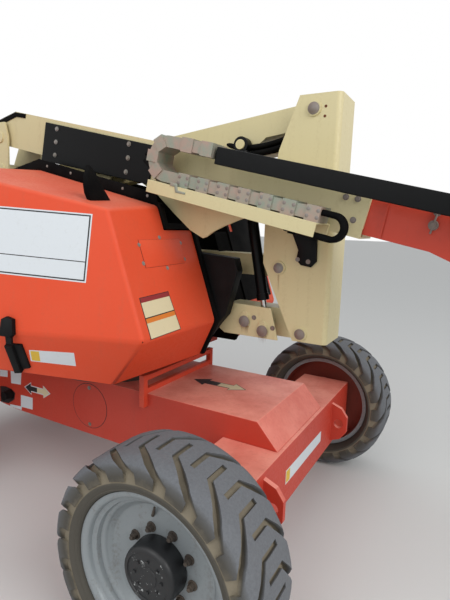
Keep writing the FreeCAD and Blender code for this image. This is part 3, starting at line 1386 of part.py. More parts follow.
# Platform: a floor in a tube cage, an arm to the rotator's cap, a side gate and a control box.
deck_x = turner_x + S.PlatformGap
deck_front = deck_x + S.PlatformDepth
deck_near = S.BoomY - S.PlatformWidth / 2
deck_far = S.BoomY + S.PlatformWidth / 2
floor_top = S.FloorZ + S.FloorThick
nodes["platform_floor"] = block("platform_floor", (deck_x, deck_near, S.FloorZ), (deck_front, deck_far, floor_top))
tube = S.RailTube
cross = tube - S.RailStep
post = cross - S.RailStep
back_rail = deck_x + tube
front_rail = deck_front - tube
near_rail = deck_near + tube
far_rail = deck_far - tube
gate_start = back_rail + S.GateStart
gate_end = gate_start + S.GateWidth
rails = []
POSTS = {
    "back_near": (back_rail, near_rail),
    "back_far": (back_rail, far_rail),
    "front_near": (front_rail, near_rail),
    "front_far": (front_rail, far_rail),
    "back_mid": (back_rail, S.BoomY),
    "front_mid": (front_rail, S.BoomY),
    "gate_hinge": (gate_start, near_rail),
    "gate_latch": (gate_end, near_rail),
}
for name, (x, y) in POSTS.items():
    rails.append(rod(f"post_{name}", "Z", post, (x, y), floor_top, S.RailTop))
for level, z in (("top", S.RailTop), ("mid", S.RailMid)):
    rails.append(rod(f"rail_{level}_back", "Y", cross, (back_rail, z), near_rail, far_rail))
    rails.append(rod(f"rail_{level}_front", "Y", cross, (front_rail, z), near_rail, far_rail))
    rails.append(rod(f"rail_{level}_far", "X", tube, (far_rail, z), back_rail, front_rail))
    rails.append(rod(f"rail_{level}_near_a", "X", tube, (near_rail, z), back_rail, gate_start))
    rails.append(rod(f"rail_{level}_near_b", "X", tube, (near_rail, z), gate_end, front_rail))
toe_top = floor_top + S.ToeHeight
TOES = {
    "back": ((back_rail, near_rail), (back_rail + S.ToeThick, far_rail)),
    "front": ((front_rail - S.ToeThick, near_rail), (front_rail, far_rail)),
    "far": ((back_rail, far_rail - S.ToeThick), (front_rail, far_rail)),
    "near_a": ((back_rail, near_rail), (gate_start, near_rail + S.ToeThick)),
    "near_b": ((gate_end, near_rail), (front_rail, near_rail + S.ToeThick)),
}
for name, (low, high) in TOES.items():
    rails.append(block(f"toe_{name}", (*low, floor_top), (*high, toe_top)))
cap_low = turner_top + S.SeatGap
cap_top = cap_low + 40
rails.append(rod("rotator_cap", "Z", S.TurnerRadius, (turner_x, S.BoomY), cap_low, cap_top))
rails.append(block("rotator_arm", (turner_x, S.BoomY - 50, cap_low), (back_rail, S.BoomY + 50, cap_top)))
nodes["platform_rails"] = fuse("platform_rails", rails)

# Side gate: a tube frame hinged on its rear post, opening inwards.
gate_in = gate_start + 2 * tube + S.GateClear
gate_out = gate_end - 2 * tube - S.GateClear
gate_low = toe_top - S.ToeHeight + 20
nodes["platform_gate"] = fuse("platform_gate", [
    rod("gate_post_a", "Z", post, (gate_in, near_rail), gate_low, S.GateTop),
    rod("gate_post_b", "Z", post, (gate_out, near_rail), gate_low, S.GateTop),
    rod("gate_top", "X", tube, (near_rail, S.GateTop), gate_in, gate_out),
    rod("gate_mid", "X", tube, (near_rail, S.RailMid), gate_in, gate_out),
    block("gate_toe", (gate_in, near_rail, gate_low), (gate_out, near_rail + S.ToeThick, toe_top)),
    block("gate_hinge_leaf", (gate_start + post + S.SeatGap, near_rail - 3, gate_low + 60),
          (gate_in, near_rail + 3, gate_low + 120)),
    block("gate_hinge_leaf_top", (gate_start + post + S.SeatGap, near_rail - 3, S.GateTop - 120),
          (gate_in, near_rail + 3, S.GateTop - 60)),
])
box_top = S.RailTop - tube
box_front_face = front_rail - post - S.SeatGap
nodes["control_box"] = block("control_box",
                             (box_front_face - S.ConsoleDepth, S.BoomY - S.ConsoleWidth / 2,
                              box_top - S.ConsoleHeight),
                             (box_front_face, S.BoomY + S.ConsoleWidth / 2, box_top))

# Every piece is rebuilt, tested and written as one file.
doc.recompute()
for thing in doc.Objects:
    if {"Invalid", "Error"} & set(thing.State):
        raise RuntimeError(f"{thing.Label} did not build: {thing.State}")
for name, node in nodes.items():
    node.Label = name
    shape = node.Shape
    if shape.isNull() or not shape.isValid():
        raise RuntimeError(f"{name} has no valid shape")
for name, node in nodes.items():
    node.Shape.exportStep(f"parts/{name}.step")
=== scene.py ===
import json
import math

import bmesh
import bpy
from mathutils import Matrix, Vector

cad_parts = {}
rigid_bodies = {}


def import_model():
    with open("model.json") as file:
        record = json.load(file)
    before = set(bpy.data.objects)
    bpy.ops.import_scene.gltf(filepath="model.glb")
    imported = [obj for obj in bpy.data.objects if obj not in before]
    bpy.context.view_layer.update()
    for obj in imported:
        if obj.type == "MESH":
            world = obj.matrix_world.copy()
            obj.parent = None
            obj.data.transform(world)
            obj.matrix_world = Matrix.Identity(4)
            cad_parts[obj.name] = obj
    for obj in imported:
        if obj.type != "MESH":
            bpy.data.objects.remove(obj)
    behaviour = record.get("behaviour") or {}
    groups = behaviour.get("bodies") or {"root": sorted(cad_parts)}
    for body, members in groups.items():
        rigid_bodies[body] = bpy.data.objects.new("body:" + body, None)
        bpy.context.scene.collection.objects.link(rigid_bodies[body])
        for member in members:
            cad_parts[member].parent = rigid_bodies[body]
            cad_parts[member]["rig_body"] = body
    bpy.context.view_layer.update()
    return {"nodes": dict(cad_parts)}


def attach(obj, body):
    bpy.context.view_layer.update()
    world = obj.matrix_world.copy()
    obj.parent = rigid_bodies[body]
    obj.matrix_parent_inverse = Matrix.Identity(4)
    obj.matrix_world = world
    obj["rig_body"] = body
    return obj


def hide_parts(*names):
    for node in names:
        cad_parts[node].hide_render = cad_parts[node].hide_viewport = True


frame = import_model()

# The camera stands a step in front of the machine's near front corner, at head height,
# and looks down a little over the near wheel towards the lifting tower.
SWING_X = -1.365
CAMERA_PLACE = Vector((SWING_X + 1.7563, -1.8945, 1.4398))
CAMERA_TURN = math.radians(29.207)
CAMERA_DIP = math.radians(9.271)
CAMERA_ROLL = math.radians(1.743)
CAMERA_LENS = 27.37

camera_data = bpy.data.cameras.new("camera")
camera_data.sensor_width = 36
camera_data.lens = CAMERA_LENS
camera = bpy.data.objects.new("camera", camera_data)
bpy.context.scene.collection.objects.link(camera)
bpy.context.scene.camera = camera
ahead = Vector((-math.sin(CAMERA_TURN) * math.cos(CAMERA_DIP),
                math.cos(CAMERA_TURN) * math.cos(CAMERA_DIP), -math.sin(CAMERA_DIP)))
level = Vector((math.cos(CAMERA_TURN), math.sin(CAMERA_TURN), 0))
rise = level.cross(ahead)
camera_right = math.cos(CAMERA_ROLL) * level + math.sin(CAMERA_ROLL) * rise
camera_up = -math.sin(CAMERA_ROLL) * level + math.cos(CAMERA_ROLL) * rise
camera_axes = Matrix((camera_right, camera_up, -ahead)).transposed()
camera.matrix_world = Matrix.Translation(CAMERA_PLACE) @ camera_axes.to_4x4()

# A pale yard floor under a white sky. Both look white to the camera and in reflections, and
# the floor keeps the machine's soft shadow. Two broad lamps light its front and near side.
FLOOR_SPAN = 60
FLOOR_MATT = 0.9
SKY_STRENGTH = 0.62
WHITE_STRENGTH = 1.0
LAMP_AIM = Vector((-0.8, 0, 0.9))
LAMPS = {
    "front_lamp": ((4.5, -2.0, 4.2), 4.0, 210),
    "near_lamp": ((-1.5, -5.5, 4.5), 4.5, 120),
}


def ink(code):
    """A colour written as in paint charts, turned to the linear values that shaders take."""
    values = [int(code[k:k + 2], 16) / 255 for k in (1, 3, 5)]
    return (*(v / 12.92 if v <= 0.04045 else ((v + 0.055) / 1.055) ** 2.4 for v in values), 1)


def plug(node, feeds):
    """Feeds a node's inputs with values or outputs. A node stands for its first output in use."""
    for name, value in feeds.items():
        if isinstance(value, bpy.types.Node):
            value = next(end for end in value.outputs if end.enabled)
        if isinstance(value, bpy.types.NodeSocket):
            node.id_data.links.new(value, node.inputs[name])
        else:
            node.inputs[name].default_value = value


def add(tree, kind, feeds=None, **settings):
    """One shader node with its settings and what feeds its inputs."""
    made = tree.nodes.new("ShaderNode" + kind)
    for setting, value in settings.items():
        setattr(made, setting, value)
    plug(made, feeds or {})
    return made


floor_bm = bmesh.new()
bmesh.ops.create_grid(floor_bm, x_segments=1, y_segments=1, size=FLOOR_SPAN)
floor_mesh = bpy.data.meshes.new("floor")
floor_bm.to_mesh(floor_mesh)
floor = bpy.data.objects.new("floor", floor_mesh)
bpy.context.scene.collection.objects.link(floor)
floor_finish = bpy.data.materials.new("pale_floor")
floor_finish.use_nodes = True
plug(floor_finish.node_tree.nodes["Principled BSDF"], {"Base Color": ink("#D9D9D7"), "Roughness": FLOOR_MATT})
floor_mesh.materials.append(floor_finish)

sky = bpy.data.worlds.new("sky")
bpy.context.scene.world = sky
sky.use_nodes = True
sky_tree = sky.node_tree
sky_light = sky_tree.nodes["Background"]
plug(sky_light, {"Color": ink("#F4F7FA"), "Strength": SKY_STRENGTH})
sky_seen = add(sky_tree, "Background", {"Color": ink("#FFFFFF"), "Strength": WHITE_STRENGTH})
ray = add(sky_tree, "LightPath").outputs
seen_first = add(sky_tree, "Math", {0: ray["Is Camera Ray"], 1: ray["Is Glossy Ray"]}, operation="MAXIMUM")
seen = add(sky_tree, "Math", {0: seen_first, 1: ray["Is Transmission Ray"]}, operation="MAXIMUM")
sky_mix = add(sky_tree, "MixShader", {0: seen, 1: sky_light, 2: sky_seen})
plug(sky_tree.nodes["World Output"], {"Surface": sky_mix})
for name, (stand, span, power) in LAMPS.items():
    lamp_data = bpy.data.lights.new(name, "AREA")
    lamp_data.size = span
    lamp_data.energy = power
    lamp = bpy.data.objects.new(name, lamp_data)
    lamp.location = stand
    lamp.rotation_euler = (LAMP_AIM - Vector(stand)).to_track_quat("-Z", "Y").to_euler()
    bpy.context.scene.collection.objects.link(lamp)
bpy.context.scene.view_settings.view_transform = "Standard"

# Chassis and axle boxes: welded steel plate with rolled edges, sprayed red and left outdoors
# for years, so the tops are bleached pink and dusty and the sides are cloudy. The pale pink on
# the tops is also painted light from the sky. The tube guard is bent bar in a fresher coat.
PLATE_EDGE = 0.004
# What weather does to enamel, in metres: bleached patches, rain streaks across and down, dust
# specks, and orange peel, which is drawn coarser than it is so that it shows.
PATCH, STREAK_WIDE, STREAK_LONG, SPECK, PEEL = 0.3333, 0.02941, 0.625, 0.01333, 0.002381


def surface(name, sockets):
    """An empty finish with its constants set on the shader."""
    material = bpy.data.materials.new(name)
    material.use_nodes = True
    shader = material.node_tree.nodes["Principled BSDF"]
    plug(shader, sockets)
    return material, material.node_tree, shader


def paint(name, colour, bleached_and_lit, soiled, rough=0.42, top_fade_and_light=0.6, soil=0.35, sheen=0.4, metallic=0.0):
    """Sprayed enamel: cloudy bleaching, more on upper faces, where it is also painted light from the sky;
    rain streaks down the sides, orange peel.
    """
    material, tree, shader = surface(name, {"Specular IOR Level": sheen, "Metallic": metallic})
    way = add(tree, "TexCoord").outputs
    where = way["Object"]
    cloud = add(tree, "TexNoise", {"Vector": where, "Scale": 1 / PATCH, "Detail": 6.0, "Roughness": 0.62})
    facing = add(tree, "SeparateXYZ", {0: way["Normal"]})
    # Upper faces get the paler colour: partly sun bleaching, partly painted light from the sky.
    upward_fade_and_light = add(tree, "MapRange", {"Value": facing.outputs["Z"], "From Min": 0.3, "From Max": 0.95,
                                    "To Min": 0.05, "To Max": top_fade_and_light})
    patchy = add(tree, "MapRange", {"Value": cloud, "From Min": 0.25, "From Max": 0.75, "To Min": 0.25,
                                    "To Max": 1.5})
    fade_and_light_mask = add(tree, "Math", {0: upward_fade_and_light, 1: patchy}, operation="MULTIPLY", use_clamp=True)
    aged = add(tree, "Mix", {0: fade_and_light_mask, 6: ink(colour), 7: ink(bleached_and_lit)}, data_type="RGBA")
    stretch = add(tree, "Mapping", {"Vector": where, "Scale": (1 / STREAK_WIDE, 1 / STREAK_WIDE,
                                                               1 / STREAK_LONG)})
    streak = add(tree, "TexNoise", {"Vector": stretch, "Scale": 1.0, "Detail": 4.0})
    speck = add(tree, "TexNoise", {"Vector": where, "Scale": 1 / SPECK, "Detail": 4.0, "Roughness": 0.7})
    soiling = add(tree, "Math", {0: streak, 1: speck}, operation="MULTIPLY")
    soil_part = add(tree, "MapRange", {"Value": soiling, "From Min": 0.27, "From Max": 0.45,
                                       "To Max": soil})
    final = add(tree, "Mix", {0: soil_part, 6: aged, 7: ink(soiled)}, data_type="RGBA")
    dull = add(tree, "MapRange", {"Value": speck, "From Min": 0.3, "From Max": 0.7, "To Min": rough - 0.06,
                                  "To Max": rough + 0.14})
    peel = add(tree, "TexNoise", {"Vector": where, "Scale": 1 / PEEL, "Detail": 2.0})
    relief = add(tree, "Bump", {"Height": peel, "Strength": 0.12, "Distance": 0.0006})
    plug(shader, {"Base Color": final, "Roughness": dull, "Normal": relief})
    return material


def settle(name, bm, finishes, body, crease=32):
    """The finished mesh as a piece of the object, shaded smooth up to its creases, riding on its body."""
    mesh = bpy.data.meshes.new(name)
    bm.to_mesh(mesh)
    bm.free()
    for finish in finishes:
        mesh.materials.append(finish)
    mesh.shade_smooth()
    mesh.set_sharp_from_angle(angle=math.radians(crease))
    piece = bpy.data.objects.new(name, mesh)
    bpy.context.scene.collection.objects.link(piece)
    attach(piece, body)
    return piece


def merged(node):
    """A copy of a CAD piece's mesh with its doubles merged and its flat faces whole."""
    bm = bmesh.new()
    bm.from_mesh(frame["nodes"][node].data)
    bmesh.ops.remove_doubles(bm, verts=bm.verts, dist=0.00002)
    bmesh.ops.dissolve_limit(bm, angle_limit=math.radians(0.6), verts=bm.verts, edges=bm.edges)
    return bm


def sharp(bm, degrees):
    """The edges at which two faces meet at more than an angle."""
    return [e for e in bm.edges if len(e.link_faces) == 2 and e.calc_face_angle(0) > math.radians(degrees)]


def roll(bm, edges, radius, steps=2):
    """Rolls edges to a small radius."""
    bmesh.ops.bevel(bm, geom=edges, offset=radius, offset_type="OFFSET", segments=steps, profile=0.5,
                    affect="EDGES", clamp_overlap=True, material=-1)


def stand_in(node, bm, finishes, crease=32):
    """Puts a finished mesh in a CAD piece's place, with its shading even over the rolled edges."""
    piece = settle(node + "_looks", bm, finishes, frame["nodes"][node]["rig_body"], crease)
    even = piece.modifiers.new("even_shading", "WEIGHTED_NORMAL")
    even.keep_sharp = True
    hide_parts(node)


def eased(node, finish, edge=PLATE_EDGE, steps=2):
    """A CAD piece with every sharp corner rolled to a small radius."""
    bm = merged(node)
    roll(bm, sharp(bm, 30), edge, steps)
    stand_in(node, bm, [finish])


# The tops are painted strongly paler: partly sun bleaching, partly painted light from the sky.
chassis_red = paint("chassis_red_enamel", "#BC3521", "#F09A88", "#8A4A3C", rough=0.44, top_fade_and_light=0.95,
                    soil=0.16)
for name in ("chassis_frame", "front_axle", "rear_axle"):
    eased(name, chassis_red)
guard_red = paint("guard_orange_enamel", "#D2472E", "#DB6A50", "#9A4A36", rough=0.4, top_fade_and_light=0.3)
eased("tube_guard", guard_red, edge=0.002)

# Steering knuckles, tie rod and slewing ring: iron castings and a rolled ring, dark from
# grease and road dust. They are never washed, so dust lies thick in their rough skin.
IRON_GRIT = 0.0012
DUST_PATCH = 0.1111


def rough_iron(name, colour, dusty, rough, grit, sheen=0.35):
    """Sand-cast iron: gritty, matt, with dust in its hollows. Its grain is drawn six grits wide."""
    material, tree, shader = surface(name, {"Specular IOR Level": sheen})
    where = add(tree, "TexCoord").outputs["Object"]
    grain = add(tree, "TexNoise", {"Vector": where, "Scale": 1 / grit / 6, "Detail": 5.0})
    cloud = add(tree, "TexNoise", {"Vector": where, "Scale": 1 / DUST_PATCH, "Detail": 4.0})
    dust = add(tree, "MapRange", {"Value": cloud, "From Min": 0.38, "From Max": 0.72, "To Max": 0.7})
    mixed = add(tree, "Mix", {0: dust, 6: ink(colour), 7: ink(dusty)}, data_type="RGBA")
    dull = add(tree, "MapRange", {"Value": grain, "To Min": rough, "To Max": rough + 0.25})
    relief = add(tree, "Bump", {"Height": grain, "Strength": 0.5, "Distance": grit})
    plug(shader, {"Base Color": mixed, "Roughness": dull, "Normal": relief})
    return material


def dress(node, finish):
    """Gives a CAD piece that keeps its own mesh its finish."""
    materials = frame["nodes"][node].data.materials
    materials.clear()
    materials.append(finish)


cast_iron = rough_iron("dusty_cast_iron", "#2A2B2C", "#6E675B", 0.6, IRON_GRIT)
for name in ("steering_knuckle_right", "steering_knuckle_left", "tie_rod"):
    eased(name, cast_iron, edge=0.002)
ring_steel = rough_iron("greasy_ring_steel", "#3A3936", "#5B5548", 0.45, IRON_GRIT)
dress("slewing_ring", ring_steel)

# Tyres: foam filled, with deep bars that run in from each shoulder, bend at a knee and
# interlock along the middle. Worn grey on top, with pale dried mud left between the bars.
WHEEL_X, WHEEL_Y, WHEEL_Z = 0.980, 0.830, 0.387
WHEELS = {"front_right": (1, -1), "front_left": (1, 1), "rear_right": (-1, -1), "rear_left": (-1, 1)}
BAR_COUNT = 19
BAR_PITCH = 2 * math.pi * WHEEL_Z / BAR_COUNT
BAR_PHASE = math.radians(11.1)
SLOT_HALF = 0.0090
SLOT_REACH = 0.045
SHOULDER = 0.192
SHOULDER_RISE = 0.55
# Where a flat bar is cut so that it can bend: from the middle outwards, and round the tyre.
CUTS_OUT = (0.020, 0.046, 0.085, 0.107, 0.126, 0.143)
CUTS_ROUND = (0.035, 0.090, 0.125, 0.160, 0.195, 0.230)
# How far a place lies outwards and its radius, along the tread and down the sidewall.
BAR_TOPS = [(0, 0, .3870), (.085, .085, .3852), (.107, .106, .3812), (.126, .1215, .3700),
            (.143, .1300, .3550), (.195, .1350, .3130)]
BAR_FOOT = [(0, 0, .3745), (.046, .046, .3735), (.085, .083, .3620), (.107, .100, .3550),
            (.126, .1120, .3430), (.143, .1195, .3310), (.195, .1270, .3085)]
SIDEWALL = [(.1270, .3085), (.1305, .3020), (.1290, .2975), (.1265, .2920), (.1225, .2860), (.1235, .2830),
            (.1200, .2780), (.1130, .2745), (.1070, .2745), (.0970, .2560)]
INNER_WALL = [(.1270, .3085), (.1260, .2950), (.1120, .2830), (.0900, .2760), (.0760, .2745), (.0660, .2560)]
BEAD_RADIUS = 0.305
MUD_PATCH, RUBBER_GRAIN = 0.0714, 0.00769


def along_profile(profile, run):
    """The place on a cross-section at a distance from the middle of the tread."""
    for (r0, a0, h0), (r1, a1, h1) in zip(profile, profile[1:]):
        if run <= r1 or (r1, a1, h1) == profile[-1]:
            part = (run - r0) / (r1 - r0)
            return a0 + (a1 - a0) * part, h0 + (h1 - h0) * part


def wrap_bar(flat, turn, side, lean):
    """Carries a point of the flat bar pattern onto the round tyre."""
    out_foot, radius_foot = along_profile(BAR_FOOT, abs(flat.y))
    out_top, radius_top = along_profile(BAR_TOPS, abs(flat.y))
    out = out_foot + (out_top - out_foot) * flat.z
    radius = radius_foot + (radius_top - radius_foot) * flat.z
    angle = turn + lean * flat.x / WHEEL_Z
    out = side * math.copysign(out, flat.y) if flat.y else 0.0
    return Vector((radius * math.sin(angle), out, radius * math.cos(angle)))


def tread_bar():
    """One bar, flat: x runs round the tyre, y from the middle outwards, z from its foot to its top."""
    mid = BAR_PITCH / 2
    outline = [
        (.176, SHOULDER), (BAR_PITCH + .124, SHOULDER), (BAR_PITCH + .122, .150), (BAR_PITCH + .073, .119),
        (BAR_PITCH - SLOT_HALF, .046), (BAR_PITCH - SLOT_HALF, 0), (mid + SLOT_HALF, 0),
        (mid + SLOT_HALF, SLOT_REACH), (mid - SLOT_HALF, SLOT_REACH), (mid - SLOT_HALF, 0), (SLOT_HALF, 0),
        (SLOT_HALF, .036), (.114, .119), (.172, .150),
    ]
    bm = bmesh.new()
    face = bm.faces.new([bm.verts.new((x, y, 0)) for x, y in outline])
    made = bmesh.ops.extrude_face_region(bm, geom=[face])
    top = [g for g in made["geom"] if isinstance(g, bmesh.types.BMVert)]
    bmesh.ops.translate(bm, vec=(0, 0, 1), verts=top)
    for v in top:
        if v.co.y > SHOULDER - 0.01:
            v.co.z = SHOULDER_RISE
    for way, cuts in ((Vector((0, 1, 0)), CUTS_OUT), (Vector((1, 0, 0)), CUTS_ROUND)):
        for cut in cuts:
            bmesh.ops.bisect_plane(bm, geom=bm.verts[:] + bm.edges[:] + bm.faces[:], dist=0.00001,
                                   plane_co=way * cut, plane_no=way)
    bmesh.ops.recalc_face_normals(bm, faces=bm.faces)
    mesh = bpy.data.meshes.new("tread_bar")
    bm.to_mesh(mesh)
    bm.free()
    return mesh


def spun(section, steps, closed=False):
    """A ring or cap spun about the wheel's axle from its (outwards, radius) section."""
    bm = bmesh.new()
    points = [bm.verts.new((0, a, r)) for a, r in section]
    for a, b in zip(points, points[1:]):
        bm.edges.new((a, b))
    if closed:
        bm.edges.new((points[-1], points[0]))
    bmesh.ops.spin(bm, geom=bm.verts[:] + bm.edges[:], cent=(0, 0, 0), axis=(0, 1, 0), dvec=(0, 0, 0),
                   angle=2 * math.pi, steps=steps, use_merge=True)
    bmesh.ops.remove_doubles(bm, verts=bm.verts, dist=0.00005)
    bmesh.ops.recalc_face_normals(bm, faces=bm.faces)
    return bm


def tyre_mesh(lean):
    """The carcass, spun, with both rows of bars laid on it; outboard is +Y."""
    half = [(a, r) for _, a, r in BAR_FOOT]
    bm = spun([(-a, r) for a, r in reversed(half[1:] + INNER_WALL[1:])] + half + SIDEWALL[1:], 5 * BAR_COUNT)
    height = bm.verts.layers.float.new("height")
    for v in bm.verts:
        v[height] = -1.0 if v.co.xz.length < BEAD_RADIUS else 0.0
    bar = tread_bar()
    for side, offset in ((1, 0.0), (-1, 0.5)):
        for k in range(BAR_COUNT):
            known = len(bm.verts)
            bm.from_mesh(bar)
            bm.verts.ensure_lookup_table()
            turn = BAR_PHASE + 2 * math.pi * (k + offset) / BAR_COUNT
            for v in bm.verts[known:]:
                v[height] = v.co.z if v.co.y < 0.14 else v.co.z * 0.7
                v.co = wrap_bar(v.co, turn, side, lean)
    bmesh.ops.recalc_face_normals(bm, faces=bm.faces)
    return bm


def worn_rubber():
    """Grey worn rubber, pale dry mud on the tread floor and darker, dusty sidewalls."""
    material, tree, shader = surface("worn_tyre_rubber", {"Specular IOR Level": 0.25})
    where = add(tree, "TexCoord").outputs["Object"]
    height = add(tree, "Attribute", attribute_name="height").outputs["Fac"]
    cloud = add(tree, "TexNoise", {"Vector": where, "Scale": 1 / MUD_PATCH, "Detail": 6.0,
                                   "Roughness": 0.65})
    fine = add(tree, "TexNoise", {"Vector": where, "Scale": 1 / RUBBER_GRAIN, "Detail": 4.0,
                                  "Roughness": 0.7})
    uneven = add(tree, "Math", {0: cloud, 1: 0.9, 2: -0.45}, operation="MULTIPLY_ADD")
    level_now = add(tree, "Math", {0: height, 1: uneven}, operation="ADD")
    muddy = add(tree, "MapRange", {"Value": level_now, "From Min": -0.05, "From Max": 0.5, "To Min": 0.92,
                                   "To Max": 0.08})
    side_wall = add(tree, "MapRange", {"Value": height, "From Min": -0.5, "From Max": -0.05, "To Min": 0.12,
                                       "To Max": 0.9})
    mud_part = add(tree, "Math", {0: muddy, 1: side_wall}, operation="MULTIPLY")
    rubber_mix = add(tree, "Mix", {0: fine, 6: ink("#505359"), 7: ink("#767A80")}, data_type="RGBA")
    mud_mix = add(tree, "Mix", {0: cloud, 6: ink("#7A7160"), 7: ink("#9A8F7A")}, data_type="RGBA")
    clean = add(tree, "MapRange", {"Value": height, "From Min": 0.5, "From Max": 0.95})
    dark_mix = add(tree, "Mix", {0: clean, 6: ink("#45433F"), 7: rubber_mix}, data_type="RGBA")
    mixed = add(tree, "Mix", {0: mud_part, 6: dark_mix, 7: mud_mix}, data_type="RGBA")
    dull = add(tree, "MapRange", {"Value": fine, "To Min": 0.68, "To Max": 0.95})
    relief = add(tree, "Bump", {"Height": fine, "Strength": 0.35, "Distance": 0.0015})
    plug(shader, {"Base Color": mixed, "Roughness": dull, "Normal": relief})
    return material


def at_wheel(corner):
    """Moves a wheel piece made about the origin, outboard along +Y, to its own corner."""
    end, side = WHEELS[corner]
    spot = Matrix.Translation((SWING_X + end * WHEEL_X, side * WHEEL_Y, WHEEL_Z))
    return spot @ (Matrix.Identity(4) if side > 0 else Matrix.Rotation(math.pi, 4, "Z"))


tyre_rubber = worn_rubber()
for corner, (_, outboard) in WHEELS.items():
    bm = tyre_mesh(outboard)
    bm.transform(at_wheel(corner))
    tyre = settle("tread_" + corner, bm, [tyre_rubber], "wheel_" + corner, crease=35)
    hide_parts("tyre_" + corner)

# Rims: pressed steel in silver enamel, stepped down in rings from a rolled lip to a flat
# disc, with nine rusty nuts round a black gear hub that is scuffed white on its face. Inboard
# the rims keep their red primer.
RIM_SECTION = [
    (.0860, .2545), (.1000, .2545), (.1030, .2650), (.1065, .2705), (.1092, .2715), (.1100, .2670),
    (.1085, .2600), (.1040, .2530), (.1020, .2500), (.0950, .2475), (.0860, .2450), (.0830, .2380),
    (.0790, .2310), (.0720, .2285), (.0640, .2270), (.0620, .2190), (.0590, .2150), (.0540, .2120),
    (.0480, .2090), (.0440, .2030), (.0370, .1990), (.0350, .1960), (.0335, .1900), (.0330, .0880),
    (.0230, .0880), (.0210, .1960), (.0270, .2300), (.0300, .2470), (-.0400, .2470), (-.0780, .2500),
    (-.0800, .2550), (-.0800, .2700), (-.0760, .2715), (-.0700, .2680), (-.0680, .2545), (-.0500, .2520),
    (.0700, .2520),
]
HUB_SECTION = [
    (.0325, .0965), (.0390, .0995), (.0900, .0970), (.0990, .0935), (.1040, .0870), (.1048, .0790),
    (.1012, .0770), (.1012, .0330), (.1030, .0320), (.1030, .0),
]
HUB_SCREWS, HUB_SCREW_CIRCLE, HUB_FACE = 8, 0.051, 0.1005
NUT_COUNT, NUT_CIRCLE, NUT_REACH, NUT_PHASE, DISC_FACE = 9, 0.1205, 0.0128, 0.775, 0.0330
VALVE_FOOT, VALVE_TIP = Vector((0.0335, 0.035, 0.155)), Vector((0.0075, 0.060, 0.205))
PRIMER_OUT, PRIMER_RADIUS = 0.031, 0.2515
CHIP = 0.02083
OUTBOARD = Vector((0, 1, 0))


def scuffed_black():
    """Black enamel on the gear hub, rubbed to bare metal and scratched on its outer face."""
    material, tree, shader = surface("scuffed_hub_black", {"Specular IOR Level": 0.5})
    way = add(tree, "TexCoord").outputs
    chips = add(tree, "TexNoise", {"Vector": way["Object"], "Scale": 1 / CHIP, "Detail": 8.0,
                                   "Roughness": 0.75})
    facing = add(tree, "SeparateXYZ", {0: way["Normal"]})
    outer = add(tree, "Math", {0: facing.outputs["Y"]}, operation="ABSOLUTE")
    face_only = add(tree, "MapRange", {"Value": outer, "From Min": 0.8, "From Max": 0.98, "To Min": -0.12,
                                       "To Max": 0.0})
    level_now = add(tree, "Math", {0: chips, 1: face_only}, operation="ADD")
    bare = add(tree, "MapRange", {"Value": level_now, "From Min": 0.60, "From Max": 0.66})
    mixed = add(tree, "Mix", {0: bare, 6: ink("#17181A"), 7: ink("#B9BBBA")}, data_type="RGBA")
    dull = add(tree, "MapRange", {"Value": chips, "To Min": 0.3, "To Max": 0.65})
    relief = add(tree, "Bump", {"Height": chips, "Strength": 0.3, "Distance": 0.001})
    plug(shader, {"Base Color": mixed, "Roughness": dull, "Normal": relief})
    return material


def square_to(outward):
    """The turn that lays +Z along a direction."""
    return outward.to_track_quat("Z", "Y").to_matrix().to_4x4()


def fastener(bm, spot, outward, reach, height, sides=6, washer=1.35):
    """A bolt head or nut with its washer, seated at a place and facing outwards."""
    seat = Matrix.Translation(spot) @ square_to(outward)
    bmesh.ops.create_cone(bm, cap_ends=True, segments=sides, radius1=reach, radius2=reach * 0.9, depth=height,
                          matrix=seat @ Matrix.Translation((0, 0, height * 0.5 + reach * 0.12)))
    if washer:
        bmesh.ops.create_cone(bm, cap_ends=True, segments=16, radius1=reach * washer, radius2=reach * washer,
                              depth=reach * 0.24, matrix=seat @ Matrix.Translation((0, 0, reach * 0.1)))


def around(count, circle, out, phase=0.0):
    """Places spaced evenly round the wheel's axle."""
    angles = [2 * math.pi * (k + phase) / count for k in range(count)]
    return [Vector((circle * math.cos(a), out, circle * math.sin(a))) for a in angles]


